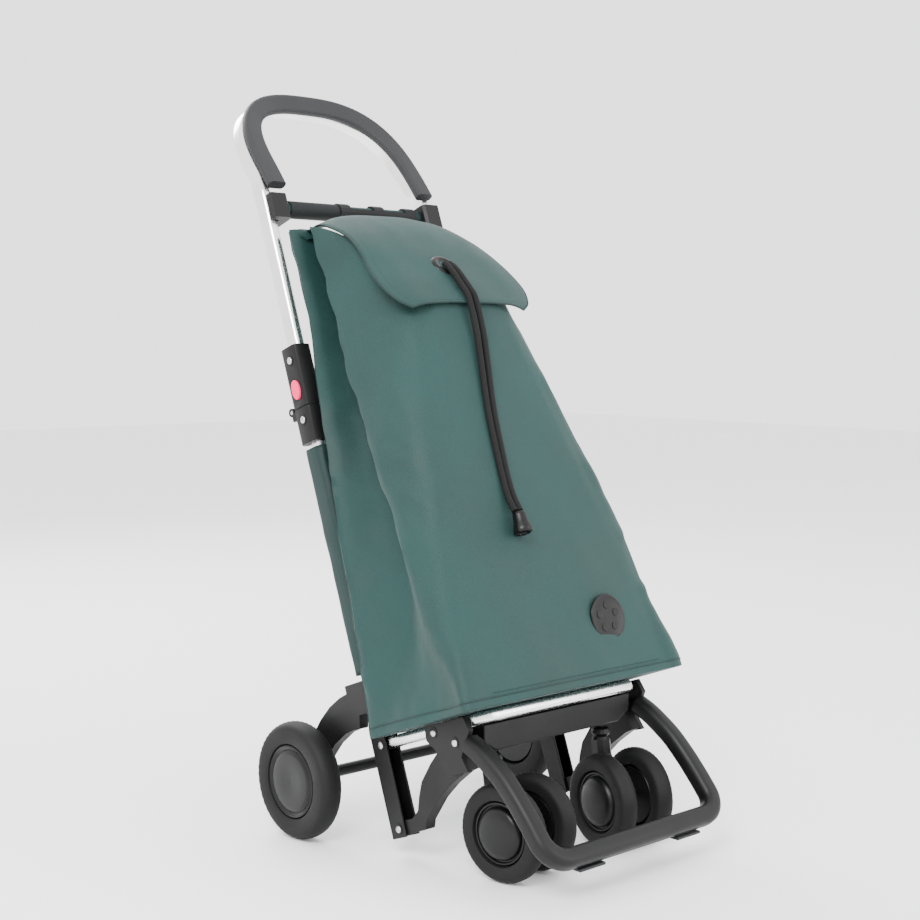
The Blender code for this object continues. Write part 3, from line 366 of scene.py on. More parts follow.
def sweep(name, route, section, side, material, body, closed=False, back=None):
    """Carry a section along a route; side is its first direction, back what its second one faces."""
    verts = []
    uvs = []
    across = Vector(side)
    travelled = 0.0
    last = len(route) - 1
    for index, point in enumerate(route):
        before = route[index - 1] if index or closed else point
        after = route[(index + 1) % len(route)] if index < last or closed else point
        along = (after - before).normalized()
        if back:
            across = back.cross(along)
        across = (across - along * across.dot(along)).normalized()
        up = along.cross(across)
        if index:
            travelled += (point - route[index - 1]).length
        for step, (a, b) in enumerate(section):
            verts.append(point + across * a + up * b)
            uvs.append((travelled, step * 0.002))
    faces = ring_faces(len(route), len(section), closed_rows=closed)
    return make_piece(name, verts, faces, material, body, uvs)


def circle_section(radius, count):
    return [(radius * math.cos(2 * math.pi * i / count), radius * math.sin(2 * math.pi * i / count))
            for i in range(count)]


def lathe(name, profile, segments, centre, axis, material, body, shift=None):
    """Spin an outline of (along, radius) points about an axis; shift(i, j) adds to the radius."""
    turn = Vector((1.0, 0.0, 0.0)).rotation_difference(Vector(axis).normalized()).to_matrix()
    verts = []
    for step in range(segments):
        angle = 2 * math.pi * step / segments
        for index, (x, radius) in enumerate(profile):
            reach = radius + (shift(step, index) if shift else 0.0)
            spoke = Vector((x, reach * math.sin(angle), reach * math.cos(angle)))
            verts.append(Vector(centre) + turn @ spoke)
    faces = ring_faces(segments, len(profile), closed_rows=True)
    item = make_piece(name, verts, faces, material, body)
    bm = bmesh.new()
    bm.from_mesh(item.data)
    bmesh.ops.remove_doubles(bm, verts=bm.verts, dist=1e-6)
    bmesh.ops.recalc_face_normals(bm, faces=bm.faces)
    bm.to_mesh(item.data)
    bm.free()
    return item


def soften(node, width, material, segments=3):
    """Replace a CAD node with a copy of it that has small rounded edges."""
    source = NODES[node]
    mesh = source.data.copy()
    bm = bmesh.new()
    bm.from_mesh(mesh)
    bmesh.ops.remove_doubles(bm, verts=bm.verts, dist=1e-5)
    bmesh.ops.dissolve_limit(bm, angle_limit=math.radians(1.0), verts=bm.verts, edges=bm.edges)
    bm.to_mesh(mesh)
    bm.free()
    mesh.materials.clear()
    mesh.materials.append(MATERIALS[material])
    item = bpy.data.objects.new(f"{node}_finished", mesh)
    bpy.context.scene.collection.objects.link(item)
    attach(item, body_of(source)[0])
    bevel = item.modifiers.new("edges", "BEVEL")
    bevel.width = width
    bevel.segments = segments
    bevel.limit_method = "ANGLE"
    bevel.angle_limit = math.radians(40)
    bevel.use_clamp_overlap = True
    bevel.harden_normals = True
    mesh.shade_smooth()
    mesh.set_sharp_from_angle(angle=math.radians(40))
    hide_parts(node)
    return item


# ---- bag ---------------------------------------------------------------------------------
BAG_BACK = -0.0230                  # depth of the back panel
BAG_FLOOR = 0.1239
FLOOR_HALF = 0.208
FRONT_NARROWING = 0.2271
FRONT_CURVE = 1.364
FRONT_LOW = -0.2430
FRONT_SLOPE = 0.0754
BACK_HALF_LOW = 0.196
BACK_HALF_HIGH = 0.140
BACK_TAPER = 0.60                   # the back panel narrows over this height
MOUTH_FRONT_DEPTH = -0.2000
MOUTH_FRONT = 0.675
MOUTH_CURVE = 2.1
# Each row below is (height, value): the ridge where the front panel meets the gusset, and the
# depth of the pleat behind it.
RIDGE_ACROSS = [(0.124, 0.2070), (0.170, 0.2020), (0.220, 0.2010), (0.350, 0.1900),
                (0.500, 0.1680), (0.630, 0.1450), (0.740, 0.1330), (0.860, 0.1300)]
RIDGE_DEPTH = [(0.124, -0.232), (0.170, -0.214), (0.220, -0.190), (0.350, -0.168),
               (0.500, -0.128), (0.630, -0.088), (0.740, -0.070), (0.860, -0.060)]
TUCK = [(0.124, 0.000), (0.160, 0.012), (0.230, 0.034), (0.350, 0.048), (0.500, 0.058), (0.630, 0.056),
        (0.740, 0.048), (0.860, 0.040)]
BAG_TOP_BACK = 0.858
CORNER_ROLL = 0.046                 # the front panel starts to turn this far from its edge
FRONT_BELLY = 0.004                 # how far the middle of the front bulges
BADGE_X = 0.079
BADGE_HEIGHT = 0.2104
BADGE_CALM = 0.055                  # wrinkles fade out within this distance of the badge
BAG_ROWS = 110
SIDE_POINTS = 30
FRONT_POINTS = 34
BACK_POINTS = 14
SEAM_SPACING = 0.0016               # spacing of the points that stitches are laid along


def front_half(height):
    """Half width of the front panel, widest at the floor."""
    return FLOOR_HALF - FRONT_NARROWING * max(0.0, height - BAG_FLOOR) ** FRONT_CURVE


def front_depth(height):
    """Depth of the front panel, which stands further forward towards the floor."""
    return FRONT_LOW + FRONT_SLOPE * (height - BAG_FLOOR)


def back_half(height):
    """Half width of the back panel."""
    return mix(BACK_HALF_LOW, BACK_HALF_HIGH, min(1.0, (height - BAG_FLOOR) / BACK_TAPER))


def mouth_height(depth):
    """Height of the bag's rim, which drops from the back to the front."""
    share = (depth - BAG_BACK) / (MOUTH_FRONT_DEPTH - BAG_BACK)
    return mix(BAG_TOP_BACK, MOUTH_FRONT, min(1.0, max(0.0, share)) ** MOUTH_CURVE)


def side_line(height):
    """Gusset from the back seam to the front panel: in at the pleat, then out to the ridge."""
    ridge = table(RIDGE_ACROSS, height)
    ridge_depth = table(RIDGE_DEPTH, height)
    tuck = table(TUCK, height)
    half = front_half(height)
    front = front_depth(height)
    back = back_half(height)
    edge = max(ridge, half)
    edge_depth = min(ridge_depth, -0.040)
    valley_depth = mix(ridge_depth, BAG_BACK, 0.42)
    valley = mix(ridge, back, 0.42) - tuck
    points = [(back, BAG_BACK), (back + 0.004, -0.034),
              (valley + tuck * 0.30, mix(valley_depth, BAG_BACK, 0.45)), (valley, valley_depth),
              (mix(valley, ridge, 0.75), mix(valley_depth, ridge_depth, 0.80)),
              (edge, edge_depth), (mix(edge, half, 0.45), mix(edge_depth, front, 0.50)),
              (half - 0.009, mix(edge_depth, front, 0.86)), (half - CORNER_ROLL, front)]
    route = smooth_route([(x, d, 0.0) for x, d in points], 8)
    lengths = [0.0]
    for first, second in zip(route, route[1:]):
        lengths.append(lengths[-1] + (second - first).length)
    line = []
    for step in range(SIDE_POINTS):
        want = lengths[-1] * step / SIDE_POINTS
        index = next(i for i in range(1, len(lengths)) if lengths[i] >= want)
        share = (want - lengths[index - 1]) / max(1e-9, lengths[index] - lengths[index - 1])
        point = route[index - 1].lerp(route[index], share)
        line.append((point.x, point.y))
    return line


def bag_ring(height):
    """The bag's whole outline at a height, from the middle of the back and round."""
    side = side_line(height)
    half = front_half(height) - CORNER_ROLL
    front = front_depth(height)
    back = back_half(height)
    ring = [(back * step / BACK_POINTS, BAG_BACK) for step in range(BACK_POINTS)]
    ring += side
    for step in range(FRONT_POINTS + 1):
        x = mix(half, -half, step / FRONT_POINTS)
        belly = FRONT_BELLY * (1 - (x / half) ** 2)
        ring.append((x, front - belly))
    ring += [(-x, d) for x, d in reversed(side)]
    ring += [(-back * step / BACK_POINTS, BAG_BACK) for step in range(BACK_POINTS - 1, 0, -1)]
    return ring


def wrinkle(x, depth, height, facing_front):
    """How far the cloth stands off its smooth shape."""
    low = max(0.0, 1.0 - (height - BAG_FLOOR) / 0.20)
    broad = noise.noise(Vector((x * 7.0, height * 4.0, depth * 7.0)))
    if facing_front:
        slanted = noise.noise(Vector((x * 13.0 + height * 7.0, height * 3.0 - x * 5.0, 4.0)))
        fine = noise.noise(Vector((x * 38.0, height * 22.0, 9.0)))
        return 0.0022 * broad + 0.0020 * slanted + 0.0005 * fine + 0.0016 * low * slanted
    folds = noise.noise(Vector((depth * 26.0 + height * 5.0, height * 3.2, x * 6.0 + 2.0)))
    crossing = noise.noise(Vector((depth * 17.0 - height * 13.0, height * 8.0, x * 5.0 + 7.0)))
    creases = 1.0 - abs(crossing) * 2.0
    fine = noise.noise(Vector((depth * 60.0, height * 34.0, x * 20.0)))
    return 0.0036 * folds + 0.0035 * max(0.0, creases - 0.45) + 0.0010 * fine + 0.0030 * low * folds


def bag_surface():
    """Rows of points of the finished bag skin."""
    rows = []
    front_start = BACK_POINTS + SIDE_POINTS
    for row in range(BAG_ROWS + 1):
        share = row / BAG_ROWS
        nominal = mix(BAG_FLOOR + 0.0012, BAG_TOP_BACK, share)
        outline = bag_ring(nominal)
        ring = []
        count = len(outline)
        for index, (x, depth) in enumerate(outline):
            top = mouth_height(depth)
            height = mix(BAG_FLOOR + 0.0012, top, share)
            x, depth = bag_ring_point(height, index)
            before = bag_ring_point(height, index - 1)
            after = bag_ring_point(height, (index + 1) % count)
            normal = Vector((after[1] - before[1], before[0] - after[0], 0.0)).normalized()
            on_front = front_start - 2 <= index <= front_start + FRONT_POINTS + 2
            on_back = index < BACK_POINTS or index > count - BACK_POINTS
            lift = 0.0 if on_back else wrinkle(x, depth, height, on_front)
            lift *= min(1.0, (height - BAG_FLOOR) / 0.02)
            if on_front:
                lift *= min(1.0, math.hypot(x - BADGE_X, height - BADGE_HEIGHT) / BADGE_CALM) ** 2
            ring.append(world(x - normal.x * lift, depth - normal.y * lift, height))
        rows.append(ring)
    return rows


RING_CACHE = {}


def bag_ring_point(height, index):
    """One point of the outline at a height, kept so that each outline is made once."""
    key = round(height, 4)
    if key not in RING_CACHE:
        RING_CACHE[key] = bag_ring(key)
    return RING_CACHE[key][index]


def bag_piece(name, verts, faces, material, slot, uvs=None, smooth_angle=60.0):
    """A bag piece that bends at the hinge line as the handle folds."""
    item = make_piece(name, verts, faces, material, None, uvs, smooth_angle)
    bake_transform(item, "frame", "handle", start=world(0.0, 0.0, BLEND_LOW), end=world(0.0, 0.0, BLEND_HIGH))
    return item


def thread_line(points, radius, lift):
    """Vertices and faces of a thin welt that follows surface points."""
    verts = []
    faces = []
    sides = 6
    for index, point in enumerate(points):
        before = points[max(index - 1, 0)]
        after = points[min(index + 1, len(points) - 1)]
        along = (after - before).normalized()
        out = Vector(lift)
        out = (out - along * out.dot(along)).normalized()
        across = along.cross(out)
        for step in range(sides):
            angle = 2 * math.pi * step / sides
            verts.append(point + out * radius * math.sin(angle) + across * radius * math.cos(angle))
    faces = ring_faces(len(points), sides)
    return verts, faces


def join_parts(parts):
    """Put several (verts, faces) lists together."""
    verts = []
    faces = []
    for more_verts, more_faces in parts:
        base = len(verts)
        verts += more_verts
        faces += [tuple(index + base for index in face) for face in more_faces]
    return verts, faces


def stitches(points, out, length=0.0032, gap=0.0016, radius=0.00035):
    """A row of short stitches along surface points."""
    parts = []
    travelled = 0.0
    start = None
    for first, second in zip(points, points[1:]):
        step = (second - first).length
        if start is None:
            start = first
        travelled += step
        if travelled >= length:
            parts.append(thread_line([start, second], radius, out))
            start = None
            travelled = -gap
        elif travelled < 0:
            start = None
    return join_parts(parts)


def resample(points, spacing):
    """Points at an even spacing along a line."""
    line = [points[0]]
    for first, second in zip(points, points[1:]):
        count = max(1, round((second - first).length / spacing))
        line += [first.lerp(second, step / count) for step in range(1, count + 1)]
    return line


def build_bag():
    """One continuous bag skin with welts along its seams and a stitched hem."""
    rows = bag_surface()
    count = len(rows[0])
    verts = [point for ring in rows for point in ring]
    faces = ring_faces(len(rows), count, capped=False)
    around = [0.0]
    for first, second in zip(rows[0], rows[0][1:]):
        around.append(around[-1] + (second - first).length)
    uvs = []
    for ring in rows:
        uvs += [(around[index], point.z) for index, point in enumerate(ring)]
    middle = sum(rows[0], Vector()) / count
    inset = [point.lerp(middle, 0.02) - Vector((0, 0, 0.0006)) for point in rows[0]]
    base = len(verts)
    verts += inset
    uvs += uvs[:count]
    faces += [(index, base + index, base + (index + 1) % count, (index + 1) % count)
              for index in range(count)]
    faces.append(tuple(base + index for index in range(count)))
    lip = [point.lerp(world(0.0, -0.09, 0.79), 0.16) - Vector((0, 0, 0.006)) for point in rows[-1]]
    base = len(verts)
    last = (len(rows) - 1) * count
    verts += lip
    uvs += uvs[last:last + count]
    faces += [(last + index, last + (index + 1) % count, base + (index + 1) % count, base + index)
              for index in range(count)]
    bag = bag_piece("bag_skin", verts, faces, "cloth", "cloth", uvs, 75.0)
    thick = bag.modifiers.new("thickness", "SOLIDIFY")
    thick.thickness = 0.0012
    thick.offset = -1.0
    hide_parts("bag_floor", "bag_front_lower", "bag_left_lower", "bag_right_lower", "bag_back_lower",
                "bag_front_upper", "bag_left_upper", "bag_right_upper", "bag_back_upper")
    edges = (BACK_POINTS + SIDE_POINTS, BACK_POINTS + SIDE_POINTS + FRONT_POINTS)
    hem = rows[2] + [rows[2][0]]
    welts = [thread_line(hem, 0.0013, (0.0, -0.3, -1.0))]
    corners = (BACK_POINTS, count - BACK_POINTS)
    welts += [thread_line([ring[index] for ring in rows], 0.0012, (0.0, 1.0, 0.2)) for index in corners]
    bag_piece("bag_welts", *join_parts(welts), "trim", "cloth")
    out = world(0, -1, 0) - world(0, 0, 0)
    hem_line = resample([point + out * 0.0006 for point in rows[3][edges[0]:edges[1] + 1]], SEAM_SPACING)
    bag_piece("bag_stitches", *stitches(hem_line, out), "trim", "cloth")


# ---- flap --------------------------------------------------------------------------------
FLAP_LINE = [(-0.024, 0.8705), (-0.048, 0.8695), (-0.072, 0.8640), (-0.100, 0.8430), (-0.128, 0.8150),
             (-0.152, 0.7800), (-0.170, 0.7480), (-0.187, 0.7180), (-0.200, 0.6930), (-0.2065, 0.6800)]
FLAP_HALVES = [0.1180, 0.1185, 0.1190, 0.1195, 0.1200, 0.1260, 0.1340, 0.1350, 0.1240, 0.1060]
FLAP_ACROSS = 44
FLAP_REAR = -0.150                  # behind this depth the flap's sides droop further
FLAP_REAR_SPAN = 0.100


def flap_rows():
    """Rows of the flap's outside, each from the right edge to the left edge."""
    middle = zip(FLAP_LINE, FLAP_HALVES)
    line = smooth_route([(half, depth, height) for (depth, height), half in middle], 7)
    rows = []
    for index, (half, depth, height) in enumerate(line):
        before = line[max(index - 1, 0)]
        after = line[min(index + 1, len(line) - 1)]
        along = Vector((after.y - before.y, after.z - before.z)).normalized()
        out = Vector((along.y, -along.x))
        row = []
        for step in range(FLAP_ACROSS + 1):
            share = mix(1.0, -1.0, step / FLAP_ACROSS)
            rear = min(1.0, max(0.0, (depth - FLAP_REAR) / FLAP_REAR_SPAN))
            droop = mix(0.010, 0.019, rear) * abs(share) ** mix(5.0, 3.0, rear)
            ripple = 0.0012 * noise.noise(Vector((share * 3.0, height * 14.0, 3.0)))
            lift = 0.0030 - droop * 0.6 + ripple + 0.0012 * (1 - share * share)
            row.append(world(half * share, depth + out.x * lift, height + out.y * lift - droop * 0.4))
        rows.append(row)
    return rows


def build_flap():
    """Flap with a bound edge and a stitched line inside it."""
    rows = flap_rows()
    count = FLAP_ACROSS + 1
    verts = [point for row in rows for point in row]
    faces = []
    for row in range(len(rows) - 1):
        for index in range(FLAP_ACROSS):
            base = row * count + index
            faces.append((base, base + 1, base + count + 1, base + count))
    uvs = [(point.x, row_index * 0.0045) for row_index, row in enumerate(rows) for point in row]
    flap = make_piece("flap_cloth", verts, faces, "cloth", "flap", uvs, 75.0)
    thick = flap.modifiers.new("thickness", "SOLIDIFY")
    thick.thickness = 0.0022
    thick.offset = 0.0
    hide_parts("flap")
    border = [row[0] for row in rows] + rows[-1][1:-1] + [row[-1] for row in reversed(rows)]
    sweep("flap_binding", border, circle_section(0.0017, 8), (0, 0, 1), "trim", "flap")
    out = (world(0, -0.9, 0.45) - world(0, 0, 0)).normalized()
    inner = [row[2] for row in rows[2:-2]] + rows[-3][3:-3] + [row[-3] for row in reversed(rows[2:-2])]
    line = resample([point + out * 0.0009 for point in inner], SEAM_SPACING)
    verts, faces = stitches(line, out)
    make_piece("flap_stitches", verts, faces, "trim", "flap")


# ---- cords -------------------------------------------------------------------------------
HEAD_LINE = [(-0.1800, 0.7520), (-0.1860, 0.7455), (-0.1930, 0.7345), (-0.2005, 0.7190),
             (-0.2080, 0.7035), (-0.2130, 0.6925), (-0.2145, 0.6835)]
HEAD_ACROSS = {
    "left": (-0.0048, -0.0050, -0.0055, -0.0060, -0.0066, -0.0070, -0.0072),
    "right": (0.0048, 0.0052, 0.0056, 0.0057, 0.0055, 0.0052, 0.0050),
}
TAIL_LINE = [(-0.2151, 0.6760), (-0.2155, 0.6600), (-0.2158, 0.6300), (-0.2166, 0.6000),
             (-0.2180, 0.5700), (-0.2197, 0.5350), (-0.2218, 0.5000), (-0.2244, 0.4600), (-0.2270, 0.4250),
             (-0.2320, 0.3940), (-0.2400, 0.3716)]
TAIL_ACROSS = {
    "left": (-0.0078, -0.0090, -0.0110, -0.0150, -0.0205, -0.0270, -0.0322, -0.0362, -0.0395,
             -0.0430, -0.0446),
    "right": (0.0047, 0.0040, 0.0020, -0.0030, -0.0090, -0.0160, -0.0216, -0.0262, -0.0300,
              -0.0330, -0.0350),
}
CORD_DIAMETER = 0.009


def build_cords():
    """Two braided strands from the grommet over the flap's edge to the toggle."""
    for side in HEAD_ACROSS:
        across = HEAD_ACROSS[side] + TAIL_ACROSS[side]
        line = HEAD_LINE + TAIL_LINE
        points = [world(x, depth, height) for x, (depth, height) in zip(across, line)]
        route = smooth_route(points, 5)
        section = circle_section(CORD_DIAMETER / 2, 12)
        cord = sweep(f"drawcord_{side}", route, section, (1, 0, 0), "cord", None)
        hinge = Vector(JOINTS["cord_swing"]["pos_m"])
        up = world(0, 0, 0.010) - world(0, 0, 0)
        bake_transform(cord, "flap", "cord", start=hinge + up, end=hinge - up)
        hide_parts(f"cord_head_{side}", f"cord_tail_{side}")


def build_toggle():
    """Bell-shaped cord end with a moulded rim and two shallow flutes."""
    segments = 64
    top = world(-0.0398, -0.2412, 0.3690)
    axis = world(-0.0020, -0.0026, -0.0300) - world(0, 0, 0)
    profile = [(0.0, 0.0002), (0.0, 0.0085), (0.0008, 0.0098), (0.0040, 0.0104), (0.0090, 0.0108),
               (0.0140, 0.0116), (0.0185, 0.0128), (0.0225, 0.0140), (0.0265, 0.0146), (0.0290, 0.0138),
               (0.0300, 0.0118), (0.0292, 0.0085), (0.0270, 0.0080), (0.0268, 0.0002)]

    def flutes(step, index):
        return -0.0022 * max(0.0, math.cos(4 * math.pi * step / segments)) if 2 <= index <= 10 else 0.0

    toggle = lathe("cord_bell", profile, segments, top, axis, "hub_plastic", "cord", flutes)
    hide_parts("cord_toggle")
    return toggle


def build_grommet():
    """Rolled plastic ring in the flap, with a thin black disc of painted shade filling its hole behind the
    cords.
    """
    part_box("grommet")               # only stops the script if the node is missing: the seat is given
    out = (world(0, -0.872, 0.489) - world(0, 0, 0)).normalized()
    seat = world(0.0, -0.1727, 0.7494) + out * 0.0012
    profile = [(0.0002, 0.0098), (0.0002, 0.0208), (0.0012, 0.0212), (0.0024, 0.0204), (0.0036, 0.0182),
               (0.0040, 0.0158), (0.0036, 0.0130), (0.0024, 0.0108), (0.0012, 0.0099)]
    ring = lathe("grommet_ring", profile, 64, seat, out, "hub_plastic", "flap")
    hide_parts("grommet")
    # a thin black disc fills the ring's opening: painted shade where the bag's dark inside would show
    hole = [(0.0, 0.0001), (0.0, 0.0100), (0.0007, 0.0100), (0.0007, 0.0001)]
    lathe("grommet_hole_painted_shade", hole, 32, seat, out, "webbing", "flap")


def build_badge():
    """Round badge with a plain ring of dimples."""
    slope = math.atan(FRONT_SLOPE)
    centre = world(BADGE_X, front_depth(BADGE_HEIGHT) - 0.0040, BADGE_HEIGHT)
    out = (world(0, -math.cos(slope), -math.sin(slope)) - world(0, 0, 0)).normalized()
    profile = [(0.0, 0.0001), (0.0, 0.0325), (0.0016, 0.0325), (0.0026, 0.0318), (0.0030, 0.0305),
               (0.0026, 0.0292), (0.0024, 0.0150), (0.0024, 0.0001)]
    badge = lathe("badge_disc", profile, 72, centre, out, "hub_plastic", "frame")
    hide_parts("badge")
    side = Vector((1.0, 0.0, 0.0))
    up = out.cross(side)
    dimple = [(0.0, 0.0001), (0.0, 0.0052), (0.0006, 0.0056), (0.0010, 0.0048), (0.0004, 0.0030),
              (0.0002, 0.0001)]
    for index in range(5):
        angle = math.radians(90 + 72 * index)
        spot = centre + out * 0.0024 + (side * math.cos(angle) + up * math.sin(angle)) * 0.0165
        lathe(f"badge_dimple_{index}", dimple, 28, spot, out, "black_plastic", "frame")


# ---- sleeves, labels and rivets ----------------------------------------------------------
def build_sleeves():
    """Cloth channels on the bag's back that wrap the lower posts."""
    heights = [mix(0.215, 0.540, step / 46) for step in range(47)]
    section = rounded_section(POST_SECTION[0] + 0.010, POST_SECTION[1] + 0.012, 0.010, 6)
    faces = ring_faces(len(heights), len(section), capped=False)
    for side, sign in SIDES:
        verts = []
        uvs = []
        for height in heights:
            for index, (a, b) in enumerate(section):
                swell = 1.0 + 0.05 * noise.noise(Vector((index * 0.35, height * 30.0, sign)))
                verts.append(world(sign * POST_X + a * swell, 0.002 + b * swell, height))
                uvs.append((index * 0.003, height))
        item = make_piece(f"post_sleeve_{side}", verts, faces, "trim", "frame", uvs)
        thick = item.modifiers.new("thickness", "SOLIDIFY")
        thick.thickness = 0.0015


def build_label():
    """Plain cloth band on the crossbar beside the left clamp."""
    centre = world(-0.075, CROSSBAR_DEPTH, CROSSBAR_HEIGHT)
    profile = [(-0.045, 0.0112), (-0.045, 0.0126), (-0.044, 0.0130), (0.044, 0.0130), (0.045, 0.0126),
               (0.045, 0.0112)]
    lathe("crossbar_band", profile, 48, centre, (1, 0, 0), "label", "handle")


def build_rivets():
    """Domed rivet heads on the legs, brackets and hinge sockets."""
    channel_face = POST_X + 0.009 + CLEARANCE + 0.003
    plate_face = POST_X + 0.0075 + CLEARANCE + 0.008
    hinge_face = POST_X + 0.0170
    places = [(channel_face, -0.001, 0.000), (channel_face, -0.003, 0.1146),
              (plate_face, -0.1214, 0.1120), (plate_face, -0.1589, 0.0921),
              (hinge_face, 0.001, 0.582), (hinge_face, 0.001, 0.670)]
    profile = [(0.0, 0.0001), (0.0, 0.0052), (0.0005, 0.0052), (0.0014, 0.0044), (0.0020, 0.0028),
               (0.0022, 0.0001)]
    collar = [(0.0, 0.0001), (0.0, 0.0080), (0.0006, 0.0080), (0.0008, 0.0060), (0.0002, 0.0001)]
    for side, sign in SIDES:
        for index, (x, depth, height) in enumerate(places):
            body = "handle" if height > HINGE_HEIGHT else "frame"
            spot = world(sign * x, depth, height)
            lathe(f"rivet_{side}_{index}", profile, 28, spot, (sign, 0, 0), "steel", body)
            lathe(f"rivet_seat_{side}_{index}", collar, 28, spot, (sign, 0, 0), "black_plastic", body)


# ---- handle ------------------------------------------------------------------------------
BEND_HEIGHT = 0.928
BEND_SLOPE = 0.38
BOW_START = 0.955
BOW_RISE = 0.148
BOW_HALF = 0.148
BOW_POWER = 2.8
HANDLE_BACK = Vector((0.0, math.cos(LEAN), -math.sin(LEAN)))
GRIP_SECTION = (0.030, 0.015)       # across and through
GRIP_BOTTOM = 0.925
GRIP_INSET = 0.007                  # the grip's line lies this far inside the tube's


def bent(x, height):
    """A point on the handle, bent back above the crossbar."""
    return Vector((x, BEND_SLOPE * max(0.0, height - BEND_HEIGHT), height))


def bow_points(half, rise, steps):
    """Right half of the bow, from the side to the top."""
    power = 2.0 / BOW_POWER
    points = []
    for step in range(steps + 1):
        turn = math.radians(90.0 * step / steps)
        height = BOW_START + rise * max(0.0, math.sin(turn)) ** power
        points.append(bent(half * math.cos(turn) ** power, height))
    return points


def mirrored(route):
    return route + [Vector((-point.x, point.y, point.z)) for point in reversed(route[:-1])]


def even(route, spacing):
    """Evenly spaced points, so that a swept section doesn't bunch up."""
    lengths = [0.0]
    for first, second in zip(route, route[1:]):
        lengths.append(lengths[-1] + (second - first).length)
    count = round(lengths[-1] / spacing)
    line = []
    index = 1
    for step in range(count + 1):
        want = lengths[-1] * step / count
        while index < len(lengths) - 1 and lengths[index] < want:
            index += 1
        share = (want - lengths[index - 1]) / max(1e-9, lengths[index] - lengths[index - 1])
        line.append(route[index - 1].lerp(route[index], share))
    return line


def in_world(route):
    return [world(point.x, point.y, point.z) for point in route]


def build_handle():
    """Bright tube with the soft grip lying on the front of its bow."""
    right = [bent(POST_X, HINGE_HEIGHT + 0.0035), bent(POST_X, BEND_HEIGHT - 0.004),
             bent(POST_X, BEND_HEIGHT + 0.003)]
    right += bow_points(BOW_HALF, BOW_RISE, 60)
    route = in_world(even(mirrored(right), 0.008))
    section = rounded_section(*POST_SECTION, 0.0075, 8)
    tube = sweep("handle_bow", route, section, (1, 0, 0), "aluminium", "handle", back=HANDLE_BACK)
    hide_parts("handle_tube")
    lift = POST_SECTION[1] / 2 + CLEARANCE + GRIP_SECTION[1] / 2 + 0.0004
    away = Vector((0.0, -1.0, BEND_SLOPE)).normalized() * lift
    right = [bent(BOW_HALF - GRIP_INSET, GRIP_BOTTOM)]
    right += bow_points(BOW_HALF - GRIP_INSET, BOW_RISE - GRIP_INSET, 60)
    route = in_world([point + away for point in even(mirrored(right), 0.006)])
    section = rounded_section(*GRIP_SECTION, 0.0062, 8)
    grip = sweep("soft_grip", route, section, (1, 0, 0), "grip", "handle", back=HANDLE_BACK)
    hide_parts("grip")


# ---- base and wheels ---------------------------------------------------------------------
BASE_HEIGHT = 0.115
BASE_REAR = 0.010
BASE_FRONT = -0.194
LOOP_X = 0.1625                     # middle of the front loop's side bars
# The loop's side bars as (depth, height), from the bracket down to the bottom corner.
LOOP_SIDE = [(-0.138, 0.182), (-0.156, 0.1745), (-0.174, 0.1645), (-0.201, 0.1465), (-0.227, 0.123),
             (-0.250, 0.099), (-0.285, 0.0585)]
REAR_RADIUS = 0.0825
REAR_WIDTH = 0.034
REAR_RIM = REAR_RADIUS * 0.62
CASTOR_RADIUS = 0.0655
CASTOR_WIDTH = 0.027
CASTOR_RIM = CASTOR_RADIUS * 0.64
TREAD_ZONE = 0.0075                 # the tread reaches this far down from the top of the tyre
TREAD_DEPTH = 0.0007


def fillet(points, radius, steps):
    """Round the inner corners of a route."""
    route = [Vector(points[0])]
    for before, corner, after in zip(points, points[1:], points[2:]):
        corner = Vector(corner)
        into = (corner - Vector(before)).normalized()
        out = (Vector(after) - corner).normalized()
        turn = into.angle(out)
        start = corner - into * radius * math.tan(turn / 2)
        inward = (out - into * into.dot(out)).normalized()
        centre = start + inward * radius
        for step in range(steps + 1):
            angle = turn * step / steps
            route.append(centre - inward * radius * math.cos(angle) + into * radius * math.sin(angle))
    route.append(Vector(points[-1]))
    return route


def build_base():
    """Bright base tube and the black front loop, both with smooth bends."""
    route = fillet([(-POST_X, BASE_REAR, BASE_HEIGHT), (-POST_X, BASE_FRONT, BASE_HEIGHT),
                    (POST_X, BASE_FRONT, BASE_HEIGHT), (POST_X, BASE_REAR, BASE_HEIGHT)], 0.035, 18)
    section = rounded_section(0.015, 0.017, 0.0065, 6)
    base = sweep("base_bow", in_world(route), section, (1, 0, 0), "aluminium", "frame")
    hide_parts("base_tube")
    half = [(LOOP_X, depth, height) for depth, height in LOOP_SIDE]
    flat = smooth_route(half[:-1], 5)
    corner = Vector(half[-1])
    opposite = Vector((-corner.x, corner.y, corner.z))
    start = Vector((-half[-2][0], half[-2][1], half[-2][2]))
    bottom = fillet([start, opposite, corner, Vector(half[-2])], 0.032, 16)
    left = [Vector((-point.x, point.y, point.z)) for point in flat[:-1]]
    right = list(reversed(flat[:-1]))
    shift = Vector((0.0, CENTRE_SHIFT_Y, 0.0))
    route = [point + shift for point in left + bottom + right]
    section = rounded_section(0.026, 0.026, 0.0095, 6)
    loop = sweep("front_bow", route, section, (1, 0, 0), "black_plastic", "frame")
    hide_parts("front_loop")


def tread(blocks, depth, zone):
    """Small staggered tread blocks on a tyre's shoulders."""
    def shift(step, index):
        if index not in zone:
            return 0.0
        offset = blocks // 2 if zone.index(index) % 2 else 0
        return -depth if (step + offset) % blocks < blocks // 2 else 0.0
    return shift


def tyre_outline(radius, width, rim):
    """Closed rounded outline; the points near the top carry the tread."""
    half = width / 2
    points = [(-half * 0.50, rim), (-half * 0.90, rim + 0.0015), (-half, rim + 0.005)]
    shoulder = radius - half * 0.75
    points.append((-half * 1.0, shoulder))
    count = 14
    for step in range(1, count):
        angle = math.radians(180.0 - 180.0 * step / count)
        points.append((half * math.cos(angle), shoulder + (radius - shoulder) * math.sin(angle) ** 0.8))
    points += [(half, shoulder), (half, rim + 0.005), (half * 0.90, rim + 0.0015), (half * 0.50, rim)]
    return points


